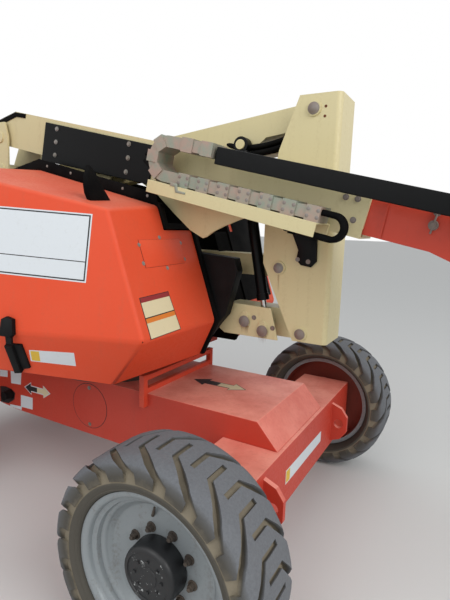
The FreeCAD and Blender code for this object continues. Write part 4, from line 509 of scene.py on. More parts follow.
rim_silver = paint("rim_silver_enamel", "#8D9396", "#A3A6A4", "#6A5F55", rough=0.38, top_fade_and_light=0.3, soil=0.45,
                   metallic=0.25)
rim_primer = paint("rim_red_primer", "#8E3A2C", "#A8584A", "#5A3A30", rough=0.6, top_fade_and_light=0.2, soil=0.5)
hub_black = scuffed_black()
rusty_nut = rough_iron("rusty_nut_steel", "#3F3833", "#76695C", 0.5, 0.0008)
for corner in WHEELS:
    body = "wheel_" + corner
    bm = spun(RIM_SECTION, 96, closed=True)
    for f in bm.faces:
        middle = f.calc_center_median()
        if middle.y < PRIMER_OUT and f.normal.y < 0.2 and middle.xz.length < PRIMER_RADIUS:
            f.material_index = 1
    bm.transform(at_wheel(corner))
    rim = settle("pressed_rim_" + corner, bm, [rim_silver, rim_primer], body, crease=40)
    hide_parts("rim_" + corner)
    bm = spun(HUB_SECTION, 48)
    for spot in around(HUB_SCREWS, HUB_SCREW_CIRCLE, HUB_FACE):
        fastener(bm, spot, OUTBOARD, 0.006, 0.004, washer=0)
    bm.transform(at_wheel(corner))
    settle("gear_hub_" + corner, bm, [hub_black], body, crease=35)
    bm = bmesh.new()
    for spot in around(NUT_COUNT, NUT_CIRCLE, DISC_FACE, NUT_PHASE):
        fastener(bm, spot, OUTBOARD, NUT_REACH, 0.016)
        fastener(bm, spot + OUTBOARD * 0.012, OUTBOARD, 0.0075, 0.012, sides=12, washer=0)
    stem = Matrix.Translation((VALVE_FOOT + VALVE_TIP) / 2) @ square_to(VALVE_TIP - VALVE_FOOT)
    bmesh.ops.create_cone(bm, cap_ends=True, segments=12, radius1=0.0052, radius2=0.0036,
                          depth=(VALVE_TIP - VALVE_FOOT).length, matrix=stem)
    bm.transform(at_wheel(corner))
    settle("wheel_nuts_" + corner, bm, [rusty_nut], body)

# Turntable, counterweight and engine: welded plate under red enamel, a thick cast weight and
# a dark block, all black with oily dust where the hoods don't cover them. Black enamel gives
# a deep, hardly faded shade, and the moulded cover beside it a fine dull grain.
weight_black = paint("weight_black_enamel", "#050607", "#15171A", "#1C1B1A", rough=0.34, top_fade_and_light=0.3,
                     soil=0.12, sheen=0.14)
oily_block = rough_iron("oily_engine_iron", "#1E1F20", "#4A453C", 0.5, 0.002)
black_plastic = rough_iron("grained_black_plastic", "#08090A", "#191A1B", 0.42, 0.0004, sheen=0.15)
eased("turntable_base", chassis_red, edge=0.003)
eased("counterweight", weight_black, edge=0.012, steps=3)
eased("engine_block", oily_block, edge=0.006)
eased("front_cover", black_plastic, edge=0.005)

# Hood seals: black moulded rubber strips round each hood's inner edge, dusty and matt. They
# are pushed over the hood's rim and hold by their own spring.
seal_rubber = rough_iron("dusty_seal_rubber", "#060607", "#181716", 0.7, 0.0006, sheen=0.08)
for name in ("hood_seal_right", "hood_seal_left"):
    eased(name, seal_rubber, edge=0.002)

# Hoods: glass fibre mouldings in an orange red gel coat, with soft corners between flat
# facets and a black lining. Sun has chalked the upper facets, which the paint also makes
# lighter as painted light from the sky, and dust lies along the lower ones. A black apron
# closes the front of the far hood.
HOOD_CORNER = 0.014
HOOD_RIM = 0.0015
SIDE_FACE = Vector((.3121, -.9444, .1031)).normalized()
FRONT_FACE = Vector((.9441, 0, .3296)).normalized()
LOW_SIDE_FACE = Vector((.2859, -.8651, -.4122)).normalized()
# The front lower corner, how near a point lies to it, and how far back and down it really is.
HOOD_TOE = Vector((-.749, .552, .827))
TOE_NEAR = (.010, .010, .004)
TOE_MOVE = Vector((-.106, .019, -.034))
APRON = [(-.839, .3075, 1.502), (-.833, .590, 1.478), (-.720, .585, 1.160), (-.680, .575, 1.045),
         (-.680, .105, 1.045), (-.800, .105, 1.408), (-.805, .3075, 1.408)]


def moulded(node, finish, lining):
    """A hood with its long outer corners rounded wide, its rims just broken and a lined inside."""
    bm = merged(node)
    for v in bm.verts:
        off = Vector((v.co.x, abs(v.co.y), v.co.z)) - HOOD_TOE
        if all(abs(off[k]) < TOE_NEAR[k] for k in range(3)):
            v.co += Vector((TOE_MOVE.x, math.copysign(TOE_MOVE.y, v.co.y), TOE_MOVE.z))
    middle = sum((v.co for v in bm.verts), Vector()) / len(bm.verts)
    outer = {f for f in bm.faces
             if f.calc_area() > 0.03 and (f.calc_center_median() - middle).dot(f.normal) > 0}
    roll(bm, [e for e in sharp(bm, 12) if all(f in outer for f in e.link_faces)], HOOD_CORNER, 4)
    roll(bm, sharp(bm, 60), HOOD_RIM)
    for f in bm.faces:
        if f.calc_area() > 0.01 and (f.calc_center_median() - middle).dot(f.normal) < 0:
            f.material_index = 1
    stand_in(node, bm, [finish, lining], crease=40)


def reach_of(node, way):
    """How far a CAD piece reaches in a direction."""
    return max(v.co.dot(way) for v in frame["nodes"][node].data.vertices)


def pressed_to(node, face, places):
    """The same places moved square on to the outer face of a piece."""
    reach = reach_of(node, face)
    return [p + face * (reach - p.dot(face)) for p in map(Vector, places)]


def slab(bm, corners, outward, thick, ease=0.0):
    """A flat plate that stands out from its corners by its thickness, with its top edge eased."""
    face = bm.faces.new([bm.verts.new(p) for p in corners])
    face.normal_update()
    made = bmesh.ops.extrude_face_region(bm, geom=[face])
    top = [g for g in made["geom"] if isinstance(g, bmesh.types.BMVert)]
    bmesh.ops.translate(bm, vec=outward * thick, verts=top)
    if ease:
        roll(bm, [e for e in bm.edges if all(v in top for v in e.verts)], ease)
    bmesh.ops.recalc_face_normals(bm, faces=bm.faces)


def plate(name, corners, outward, thick, finish, body, ease=0.0):
    """A slab that is a piece of its own."""
    bm = bmesh.new()
    slab(bm, corners, outward, thick, ease)
    settle(name, bm, [finish], body)


# Its upper facets are painted paler: partly chalking, partly painted light from the sky.
hood_gelcoat = paint("hood_orange_gelcoat", "#DB4B29", "#E58C72", "#A5634E", rough=0.48, top_fade_and_light=0.42,
                     soil=0.14, sheen=0.25)
hood_lining = rough_iron("black_hood_lining", "#0D0D0E", "#242322", 0.8, 0.0008, sheen=0.08)
for name in ("hood_right", "hood_left"):
    moulded(name, hood_gelcoat, hood_lining)
for name in ("hood_hinge_right", "hood_hinge_left"):
    eased(name, weight_black, edge=0.002)
plate("hood_left_apron", pressed_to("hood_left", FRONT_FACE, APRON), FRONT_FACE, 0.003, hood_lining,
      "hood_left", ease=0.0008)

# Blank signs on the right hood: printed vinyl films with a thin dark border, pressed on its
# facets one on another. They are slightly dulled by weather.
FILM = 0.0003
FILM_LIFT = 0.0001
SCRATCH = 0.01667
SIDE_SIGN = [(-.128, -.832, 1.5015), (.477, -.635, 1.467), (.468, -.666, 1.211), (-.122, -.860, 1.240)]
LOW_SIGN = [(.218, -.735, .926), (.406, -.675, .931), (.389, -.651, .868), (.201, -.715, .872)]
FRONT_SIGN = [(.645, -.571, 1.160), (.643, -.386, 1.166), (.697, -.367, 1.010), (.699, -.567, 1.005)]


def film(name, colour, rough=0.4):
    """Printed vinyl film, slightly dulled by weather, with fine scratches."""
    material, tree, shader = surface(name, {"Specular IOR Level": 0.45})
    where = add(tree, "TexCoord").outputs["Object"]
    wear = add(tree, "TexNoise", {"Vector": where, "Scale": 1 / SCRATCH, "Detail": 7.0, "Roughness": 0.7})
    part = add(tree, "MapRange", {"Value": wear, "From Min": 0.55, "From Max": 0.8, "To Max": 0.16})
    mixed = add(tree, "Mix", {0: part, 6: ink(colour), 7: ink("#8F887C")}, data_type="RGBA")
    dull = add(tree, "MapRange", {"Value": wear, "To Min": rough, "To Max": rough + 0.25})
    plug(shader, {"Base Color": mixed, "Roughness": dull})
    return material


def from_swing(*places):
    """Places measured from the swing axis."""
    return [Vector((SWING_X + x, y, z)) for x, y, z in places]


def within(corners, across, down):
    """The place at a share of a sign's width and height, its corners going round from top left."""
    top_left, top_right, low_right, low_left = corners
    return top_left.lerp(top_right, across).lerp(low_left.lerp(low_right, across), down)


def sign(name, corners, outward, body, layers):
    """Stacked films: each has its share of the sign (left, right, top, bottom), level and finish."""
    for k, (left, right, top, bottom, level, finish) in enumerate(layers):
        ends = [within(corners, across, down) + outward * FILM_LIFT
                for across, down in ((left, top), (right, top), (right, bottom), (left, bottom))]
        plate(f"{name}_{k}", ends, outward, FILM * level, finish, body)


white_film = film("white_sign_film", "#D3D8DC")
black_film = film("black_sign_film", "#1A1B1D")
cream_film = film("cream_sign_film", "#D9CBA6")
dark_red_film = film("dark_red_sign_film", "#8E2A2E")
orange_film = film("orange_sign_film", "#D6792C")
yellow_film = film("yellow_sign_film", "#D9B23A")
sign("side_sign", pressed_to("hood_right", SIDE_FACE, from_swing(*SIDE_SIGN)), SIDE_FACE, "hood_right", [
    (0, 1, 0, 1, 1, white_film), (.009, .991, .02, .98, 2, black_film),
    (.018, .982, .04, .692, 3, white_film),
    (.018, .982, .706, .96, 3, white_film)])
sign("low_side_sign", pressed_to("hood_right", LOW_SIDE_FACE, from_swing(*LOW_SIGN)), LOW_SIDE_FACE,
     "hood_right", [(0, 1, 0, 1, 1, white_film), (.03, .22, .08, .92, 2, yellow_film)])
sign("front_sign", pressed_to("hood_right", FRONT_FACE, from_swing(*FRONT_SIGN)), FRONT_FACE, "hood_right", [
    (0, 1, 0, 1, 1, black_film), (.02, .98, .015, .485, 2, cream_film), (.02, .98, .51, .985, 2, cream_film),
    (.02, .98, .015, .125, 3, dark_red_film), (.02, .98, .51, .62, 3, orange_film)])

# Access panel on the hood's front: a pressed cover of the same gel coat held by six dull zinc
# fasteners along its edges, with a dark gap all round.
PANEL = [(.570, -.488, 1.373), (.570, -.210, 1.374), (.606, -.213, 1.270), (.608, -.485, 1.265)]
PANEL_GAP = 1.012
PANEL_HOLES = ((-.01, .17), (.5, -.08), (1.01, .16), (-.03, .83), (.5, 1.10), (1.01, .84))


def screwed(name, spots, outward, reach, height, finish, body, sides=6, washer=1.35):
    """A group of like fasteners that is a piece of its own."""
    bm = bmesh.new()
    for spot in spots:
        fastener(bm, spot, outward, reach, height, sides, washer)
    settle(name, bm, [finish], body)


zinc = rough_iron("dull_zinc_steel", "#8C8B86", "#6F6657", 0.38, 0.0003)
panel = pressed_to("hood_right", FRONT_FACE, from_swing(*PANEL))
middle = sum(panel, Vector()) / 4
plate("access_panel_gap", [middle + (p - middle) * PANEL_GAP for p in panel], FRONT_FACE, 0.0006, black_film,
      "hood_right")
plate("access_panel", panel, FRONT_FACE, 0.0022, hood_gelcoat, "hood_right", ease=0.0010)
screwed("access_panel_fasteners", [within(panel, across, down) for across, down in PANEL_HOLES], FRONT_FACE,
        0.0062, 0.003, zinc, "hood_right", sides=20, washer=1.4)

# Hood latch: a black moulded handle on the side facet, its neck, the catch plate below the
# chine that it hooks on, and the rib along that plate. Each has its face, lift, thickness
# and eased edge.
LATCH = [
    (SIDE_FACE, 0, .022, .006, [(.1483, -.7886, 1.0545), (.1669, -.7813, 1.0646), (.1949, -.7730, 1.0558),
                                (.2004, -.7777, .9962), (.1905, -.7823, .9846), (.1412, -.7982, .9875)]),
    (SIDE_FACE, 0, .012, .003, [(.1627, -.7912, .9900), (.1883, -.7829, .9890), (.1918, -.7844, .9560),
                                (.1683, -.7921, .9560)]),
    (LOW_SIDE_FACE, 0, .010, .003, [(.1369, -.7747, .9530), (.2034, -.7524, .9522), (.1879, -.7052, .8424),
                                    (.1573, -.7114, .8341), (.1388, -.7081, .8143), (.1115, -.7168, .8138)]),
    (LOW_SIDE_FACE, .009, .014, .005, [(.1369, -.7747, .9500), (.1700, -.7636, .9496), (.1480, -.7090, .8230),
                                       (.1160, -.7168, .8190)]),
]
bm = bmesh.new()
for face, lift, thick, ease, outline in LATCH:
    slab(bm, [p + face * lift for p in pressed_to("hood_right", face, from_swing(*outline))], face, thick,
         ease)
settle("hood_latch", bm, [black_plastic], "hood_right")

# Lifting fin: a curved black rubber horn bolted on the hood's top near its front, and a strip
# of the same rubber that stands up along the hood's inner edge and keeps rain out under the
# boom, held by small zinc screws.
FIN_X = 0.393
FIN_OUTLINE = [(-.578, 1.518), (-.595, 1.548), (-.600, 1.579), (-.597, 1.613), (-.583, 1.653), (-.566, 1.641),
               (-.549, 1.623), (-.530, 1.597), (-.508, 1.569), (-.484, 1.541), (-.463, 1.518)]
FLAP_OUTLINE = [(-2.100, 1.586), (-1.585, 1.693), (-.846, 1.521), (-.846, 1.566), (-1.585, 1.740),
                (-2.100, 1.632)]
FLAP_SCREW_LINE = Vector((-1.585, -.304, 1.716)), Vector((-.846, -.304, 1.545))
NEAR = Vector((0, -1, 0))
AHEAD = Vector((1, 0, 0))


def at_side(y, outline):
    """The places of an (x, z) outline in the upright plane at y."""
    return [Vector((x, y, z)) for x, z in outline]


plate("hood_fin", from_swing(*((FIN_X, y, z) for y, z in FIN_OUTLINE)), AHEAD, 0.022, seal_rubber,
      "hood_right", ease=0.005)
plate("hood_top_flap", at_side(-.2990, FLAP_OUTLINE), NEAR, 0.005, seal_rubber, "hood_right",
      ease=0.0015)
screwed("hood_flap_screws", [FLAP_SCREW_LINE[0].lerp(FLAP_SCREW_LINE[1], part)
                             for part in (.08, .30, .52, .74, .93)], NEAR, 0.0042, 0.002, zinc,
        "hood_right", sides=16, washer=1.5)

# Lifting tower: welded boxes of folded plate in cream enamel, joined by steel pins with forged
# heads. Rain has run rust down from the pins and dust has settled in the corners.
UPRIGHT_PINS = ((-.275, 1.925, .0245), (-.396, 1.260, .0230), (-.280, .973, .0240))
UPRIGHT_SCREWS = ((-.226, 1.930), (-.228, 1.892))
RUN_TOP = 1.9
RUN_WIDE, RUN_LONG = 0.00625, 0.1111


def dome(bm, spot, outward, reach, height, collar=1.0):
    """A pin's forged head: a thin flange with a low dome on it."""
    line = [(0, reach, 0), (0, reach, height * .28), (0, reach * .82 * collar, height * .36),
            (0, reach * .70, height * .62), (0, reach * .48, height * .85), (0, reach * .24, height * .96),
            (0, 0, height)]
    known = set(bm.verts)
    points = [bm.verts.new(p) for p in line]
    edges = [bm.edges.new((a, b)) for a, b in zip(points, points[1:])]
    bmesh.ops.spin(bm, geom=points + edges, cent=(0, 0, 0), axis=(0, 0, 1), dvec=(0, 0, 0),
                   angle=2 * math.pi, steps=32, use_merge=True)
    bmesh.ops.transform(bm, matrix=Matrix.Translation(spot) @ square_to(outward),
                        verts=[v for v in bm.verts if v not in known])


def streaked():
    """A run of rust washed down from a pin: densest at its top edge, fading out downwards."""
    material, tree, shader = surface("rust_run", {"Roughness": 0.8, "Base Color": ink("#7A4526")})
    where = add(tree, "TexCoord").outputs["Object"]
    fade = add(tree, "Attribute", attribute_name="fade")
    stretch = add(tree, "Mapping", {"Vector": where, "Scale": (1 / RUN_WIDE, 1 / RUN_WIDE, 1 / RUN_LONG)})
    runs = add(tree, "TexNoise", {"Vector": stretch, "Scale": 1.0, "Detail": 5.0})
    thick = add(tree, "Math", {0: runs, 1: fade.outputs["Fac"]}, operation="MULTIPLY")
    part = add(tree, "MapRange", {"Value": thick, "From Min": 0.22, "From Max": 0.6, "To Max": 0.38})
    plug(shader, {"Alpha": part})
    return material


def rust_below(bm, spot, width, length, rows=5):
    """A thin sheet that hangs down from a pin on a near face and carries its run of rust."""
    fade = bm.verts.layers.float.get("fade") or bm.verts.layers.float.new("fade")
    pairs = []
    for part in (k / (rows - 1) for k in range(rows)):
        half = AHEAD * width * (0.5 - 0.22 * part)
        middle = spot + Vector((0, -0.0006, -length * part))
        pair = [bm.verts.new(middle - half), bm.verts.new(middle + half)]
        for v in pair:
            v[fade] = (1 - part) ** 0.8
        pairs.append(pair)
    for a, b in zip(pairs, pairs[1:]):
        bm.faces.new((a[0], a[1], b[1], b[0]))


cream_enamel = paint("cream_enamel", "#CFC396", "#DBD3B6", "#8A6E4C", rough=0.4, top_fade_and_light=0.4, soil=0.14)
for name in ("tower_lower_arm", "tower_timing_link", "tower_upright", "tower_middle_arm", "tower_middle_link",
             "upper_upright"):
    eased(name, cream_enamel, edge=0.0025)
rusty_steel = rough_iron("rusty_pin_steel", "#85807B", "#7A5A4C", 0.42, 0.0005)
rust_brown = rough_iron("rust_brown_steel", "#5A2E1C", "#7E4528", 0.7, 0.0005)
rust_run = streaked()
bm = bmesh.new()
runs_bm = bmesh.new()
for x, z, reach in UPRIGHT_PINS:
    dome(bm, Vector((x, -.0080, z)), NEAR, reach, .013)
    if z < RUN_TOP:
        rust_below(runs_bm, Vector((x, 0, z - reach * .9)), reach * .35, .14)
settle("upright_pin_heads", bm, [rusty_steel], "upright", crease=50)
settle("upright_rust", runs_bm, [rust_run], "upright")
screwed("upright_screws", at_side(0, UPRIGHT_SCREWS), NEAR, .0048, .0012, rust_brown, "upright", sides=16,
        washer=1.2)

# Hanging bracket: a black steel plate over the upright's lug, with two drilled holes that
# keep their worn steel bushes.
HANGER = [(-.3395, 1.4195), (-.2260, 1.4085), (-.2228, 1.2990), (-.2465, 1.2735), (-.2918, 1.2800),
          (-.3133, 1.3035), (-.3060, 1.3440)]
HANGER_HOLES = [(-.306, 1.304), (-.258, 1.297)]
plate("hanging_bracket", at_side(.0006, HANGER), NEAR, 0.0142, weight_black, "upright",
      ease=0.0015)
screwed("hanging_bracket_bushes", at_side(-.0134, HANGER_HOLES), NEAR, .0075, .0012, rusty_steel, "upright",
        sides=20)

# Lower arm: forged pin heads on its near cheek, each with the bolt of its keeper beside it
# and a short run of rust below.
CHEEK_Y = -reach_of("tower_lower_arm", NEAR)
CHEEK_PINS = (((-.560, .996), (-.512, 1.018)), ((-.465, .961), (-.416, .980)))
bm = bmesh.new()
runs_bm = bmesh.new()
for (x, z), (bolt_x, bolt_z) in CHEEK_PINS:
    dome(bm, Vector((x, CHEEK_Y, z)), NEAR, .027, .010)
    rust_below(runs_bm, Vector((x, CHEEK_Y + .008, z - .022)), .045, .06)
    fastener(bm, Vector((bolt_x, CHEEK_Y + .008, bolt_z)), NEAR, .0085, .006)
settle("lower_arm_pins", bm, [rusty_steel], "lower_arm", crease=50)
settle("lower_arm_rust", runs_bm, [rust_run], "lower_arm")

# Hydraulic cylinders: black tube barrels and ground rods in hard chrome, which is bright and
# carries a thin, uneven film of oil.
OIL_PATCH = 0.0556


def chromed():
    """Hard chrome with an oily bloom."""
    material, tree, shader = surface("hard_chrome", {"Metallic": 1.0})
    where = add(tree, "TexCoord").outputs["Object"]
    bloom = add(tree, "TexNoise", {"Vector": where, "Scale": 1 / OIL_PATCH, "Detail": 5.0})
    mixed = add(tree, "Mix", {0: bloom, 6: ink("#D5D7D9"), 7: ink("#A9A79F")}, data_type="RGBA")
    dull = add(tree, "MapRange", {"Value": bloom, "To Min": 0.10, "To Max": 0.32})
    plug(shader, {"Base Color": mixed, "Roughness": dull})
    return material


hard_chrome = chromed()
for name in ("tower", "main", "jib"):
    dress(name + "_ram_barrel", weight_black)
    dress(name + "_ram_rod", hard_chrome)

# Main boom: a folded and welded box in cream enamel, with slide-pad bolts by its mouth, a
# rubber pad over its tail's chamfer and a lift plate welded under its near side. Its outlines
# run along the boom and square to it.
BOOM = Matrix.Translation((-1.965, 0, 1.877)) @ Matrix.Rotation(math.radians(12.45), 4, "Y")
BOOM_OUT = BOOM.to_3x3() @ NEAR
BOOM_NEAR = -.22
SLIDE_PAD_BOLTS = [(-.059, 1.554), (-.016, 1.547), (-.028, 1.473)]
PAD_LOW, PAD_HIGH, PAD_NEAR, PAD_FAR = (-.055, .0863), (.075, .1467), -.2185, -.0415
PAD_UP = BOOM.to_3x3() @ Vector((-.065, 0, .140)).normalized()
PAD_LIP = [(-.058, .081), (-.028, .095), (.080, .145), (.160, .1475), (.160, .126), (.086, .123),
           (-.034, .066), (-.034, .000), (-.058, .000)]
LIFT_PLATE = [(.980, -.0355), (1.620, -.0355), (1.590, -.050), (1.534, -.0803), (1.463, -.127),
              (1.421, -.159), (1.388, -.1935), (1.372, -.203), (1.300, -.185), (1.200, -.135),
              (1.100, -.080), (1.000, -.045)]


def on_boom(y, outline):
    """The places of an outline that runs along the boom and square to it, at y across it."""
    return [BOOM @ Vector((along, y, square)) for along, square in outline]


eased("main_boom", cream_enamel, steps=3)
screwed("slide_pad_bolts", at_side(BOOM_NEAR, SLIDE_PAD_BOLTS), NEAR, .0085, .006, rusty_steel, "main_boom")
bm = bmesh.new()
slab(bm, on_boom(PAD_NEAR, [PAD_LOW, PAD_HIGH]) + on_boom(PAD_FAR, [PAD_HIGH, PAD_LOW]), PAD_UP, 0.003, 0.001)
slab(bm, on_boom(-.2198, PAD_LIP), BOOM_OUT, 0.006, 0.0015)
settle("boom_tail_pad", bm, [seal_rubber], "main_boom")
plate("boom_side_lug", on_boom(-.202, LIFT_PLATE), BOOM_OUT, .012, cream_enamel, "main_boom",
      ease=.002)

# Hose cover: a black pressed sheet bolted with six zinc bolts to the boom's near side, over
# the bulkhead where the hoses come through.
COVER_BOLTS = [(-1.534, 1.892), (-1.544, 1.830), (-1.554, 1.767), (-1.065, 1.793), (-1.071, 1.732),
               (-1.084, 1.670)]
eased("hose_cover", weight_black, edge=0.003)
screwed("hose_cover_bolts", at_side(-.230, COVER_BOLTS), NEAR, .0085, .006, zinc, "main_boom")

# Cable carrier: zinc plated steel links on rivets that unroll from a folded sheet trough. The
# trough is enamelled cream and the links' plating has weathered to grey green and pink.
RIVET_START, LINK_PITCH, LINK_COUNT, LINK_MIDDLE = 1.900, .092, 7, .0175
LINK_RIVETS = ((.008, .012), (.008, -.012), (.045, .012), (.045, -.012))
PLATING_PATCH = 0.0833


def weathered_zinc(name, colour, other, rough):
    """Old zinc plating with patches of primer and white bloom."""
    material, tree, shader = surface(name, {"Specular IOR Level": 0.5, "Metallic": 0.35})
    where = add(tree, "TexCoord").outputs["Object"]
    cloud = add(tree, "TexNoise", {"Vector": where, "Scale": 1 / PLATING_PATCH, "Detail": 7.0,
                                   "Roughness": 0.68})
    part = add(tree, "MapRange", {"Value": cloud, "From Min": 0.42, "From Max": 0.6})
    mixed = add(tree, "Mix", {0: part, 6: ink(colour), 7: ink(other)}, data_type="RGBA")
    dull = add(tree, "MapRange", {"Value": cloud, "To Min": rough, "To Max": rough + 0.25})
    relief = add(tree, "Bump", {"Height": cloud, "Strength": 0.25, "Distance": 0.001})
    plug(shader, {"Base Color": mixed, "Roughness": dull, "Normal": relief})
    return material


link_zinc = weathered_zinc("link_zinc", "#8B9183", "#A48F82", 0.42)
eased("carrier_trough", cream_enamel, edge=0.001)
eased("cable_chain", link_zinc, edge=0.002)
bm = bmesh.new()
for k in range(LINK_COUNT):
    for back, side in LINK_RIVETS:
        spot = BOOM @ Vector((RIVET_START - LINK_PITCH * k - back, -.365, LINK_MIDDLE + side))
        dome(bm, spot, BOOM_OUT, .0068, .0022)
settle("carrier_rivets", bm, [rusty_steel], "main_boom", crease=50)
dress("boom_hoses", seal_rubber)
eased("carrier_tube", weight_black, edge=0.003)

# Carrier clip and hoses: a folded zinc clip on the trough's lip, four rubber hoses along the
# tower's middle arm, and two that come out from behind the hose cover and run down into the
# trough.
TROUGH_Y = -reach_of("carrier_trough", NEAR)
CLIP = [(-.722, 1.604), (-.690, 1.597), (-.687, 1.571), (-.650, 1.562), (-.652, 1.555), (-.698, 1.563),
        (-.703, 1.586), (-.724, 1.590)]
TOWER_ROUTE = [(-.748, .04, 1.800), (-.640, 0, 1.772), (-.520, 0, 1.776), (-.410, 0, 1.800),
               (-.330, .02, 1.836)]
# Places on the upper bulkhead hose, each with how much of the drop the lower one keeps there.
BULKHEAD_ROUTE = [(-.960, -.232, 1.745, 1), (-.915, -.243, 1.712, 1), (-.870, -.262, 1.660, .6),
                  (-.835, -.285, 1.606, .2), (-.780, -.300, 1.588, 0)]


def hose(bm, route, reach, sides=12, steps=6):
    """A round hose along a smooth route of places."""
    line = []
    last = len(route) - 1
    for k in range(last):
        p0, p1, p2, p3 = (route[max(0, min(last, k + j))] for j in (-1, 0, 1, 2))
        for t in (step / steps for step in range(steps)):
            line.append(0.5 * (2 * p1 + (p2 - p0) * t + (2 * p0 - 5 * p1 + 4 * p2 - p3) * t * t
                               + (3 * p1 - p0 - 3 * p2 + p3) * t * t * t))
    line.append(route[-1])
    rings = []
    for k, spot in enumerate(line):
        turn = square_to((line[min(k + 1, len(line) - 1)] - line[max(k - 1, 0)]).normalized())
        rings.append([bm.verts.new(spot + turn @ Vector((reach * math.cos(a), reach * math.sin(a), 0)))
                      for a in (2 * math.pi * j / sides for j in range(sides))])
    for low, high in zip(rings, rings[1:]):
        for j in range(sides):
            bm.faces.new((low[j], low[(j + 1) % sides], high[(j + 1) % sides], high[j]))
    bm.faces.new(list(reversed(rings[0])))
    bm.faces.new(rings[-1])


plate("carrier_clip", at_side(TROUGH_Y + .0005, CLIP), NEAR, 0.003, link_zinc, "main_boom",
      ease=0.001)
bm = bmesh.new()
for y, lift in ((.060, 0), (.084, 0), (.060, .028), (.084, .028)):
    hose(bm, [Vector((x, y + out, z + lift)) for x, out, z in TOWER_ROUTE], 0.0115)
settle("tower_hoses", bm, [seal_rubber], "middle_arm", crease=60)
bm = bmesh.new()
for drop, out in ((0, 0), (.030, .012)):
    hose(bm, [Vector((x, y - out, z - drop * share)) for x, y, z, share in BULKHEAD_ROUTE], 0.0095)
settle("bulkhead_hoses", bm, [seal_rubber], "main_boom", crease=60)

# Fly boom: the same box in red, telescoping out of the main boom. Its near side has a weld
# seam all the way down, and a latch pin with its bent safety wire.
FLY_Y = -reach_of("fly_boom", NEAR)
PIN_EYE, PIN = Vector((.2466, FLY_Y, 1.503)), Vector((.2374, FLY_Y, 1.461))
WIRE = [(.2466, .006, 1.497), (.2420, .009, 1.480), (.2374, .009, 1.461), (.2300, .006, 1.433)]
SEAM = [(.0870, 1.5380), (.0925, 1.5368), (.0715, 1.4150), (.0660, 1.4162)]
fly_red = paint("fly_red_enamel", "#C23C26", "#D06A54", "#7A4338", rough=0.36, top_fade_and_light=0.3, soil=0.2)
eased("fly_boom", fly_red, edge=0.003)
bm = bmesh.new()
fastener(bm, PIN_EYE, NEAR, .0095, .006)
fastener(bm, PIN, NEAR, .0170, .007, sides=20, washer=0)
fastener(bm, PIN + NEAR * .008, NEAR, .0100, .007)
hose(bm, [Vector((x, FLY_Y - out, z)) for x, out, z in WIRE], 0.0035)
settle("fly_latch_pin", bm, [rusty_steel], "fly_boom")
plate("fly_weld_seam", at_side(FLY_Y - .0001, SEAM), NEAR, .0014, fly_red, "fly_boom")

# Chassis films and covers: blank strips and direction arrows in vinyl, a round inspection
# cover on two screws, and a black film, painted shade for the dark inside of a port, with the
# port's cap, all on the red plate's near side.
CHASSIS_Y = -.281
COVER_X, COVER_Z, COVER_REACH = -1.290, .503, .117
GAP_REACH, GAP_POINTS = .1195, 72
PORT_SHADE_OUTLINE = [(-2.022, .459), (-1.972, .468), (-1.918, .462), (-1.885, .444), (-1.896, .404), (-1.950, .368),
        (-2.022, .362)]
PORT_CAP = Vector((-1.925, -.305, .432))
CHASSIS_SIGNS = [
    ((-1.917, .575), (-1.822, .581), (-1.832, .506), (-1.918, .498)),
    ((-1.835, .444), (-1.734, .448), (-1.738, .377), (-1.840, .372)),
    ((-1.937, .365), (-1.831, .374), (-1.835, .352), (-1.937, .352)),
    ((-2.016, .563), (-1.945, .570), (-1.948, .529), (-2.020, .521)),
]
AXLE_SIGN = [Vector((-.230, y, z)) for y, z in ((-.216, .435), (.257, .425), (.257, .370), (-.216, .372))]
UP = Vector((0, 0, 1))


def arrow(name, tail, head, across, outward, edge):
    """A double arrow in films: an outline with one half filled dark and the other light."""
    run = (head - tail).length
    along = (head - tail) / run
    films = ((0.0, 1, edge, (1, -1)), (0.005, 2, black_film, (1,)), (0.005, 2, cream_film, (-1,)))
    for layer, (grow, level, finish, ways) in enumerate(films):
        neck, half_head, half_bar = run * .27 - grow * .4, run * .17 - grow, run * .085 - grow
        outline = [(grow * 1.6, 0), (neck, -half_head), (neck, -half_bar), (run / 2, -half_bar),
                   (run / 2, half_bar), (neck, half_bar), (neck, half_head)]
        for way in ways:
            ends = [tail + along * (a if way > 0 else run - a) + across * b + outward * FILM_LIFT
                    for a, b in outline]
            plate(f"{name}_{layer}_{'low' if way > 0 else 'high'}", ends, outward, FILM * level, finish,
                  "chassis")


arrow("top_arrow", Vector((-.845, .012, .650)), Vector((-.545, .020, .650)), Vector((0, 1, 0)), UP,
      black_film)
arrow("side_arrow", Vector((-1.801, CHASSIS_Y, .500)), Vector((-1.585, CHASSIS_Y, .5035)), UP, NEAR,
      white_film)
for k, corners in enumerate(CHASSIS_SIGNS):
    sign(f"chassis_sign_{k}", at_side(CHASSIS_Y, corners), NEAR, "chassis", [(0, 1, 0, 1, 1, white_film)])
sign("axle_sign", AXLE_SIGN, AHEAD, "chassis", [(0, 1, 0, 1, 1, white_film),
                                                (.01, .10, .08, .92, 2, yellow_film)])
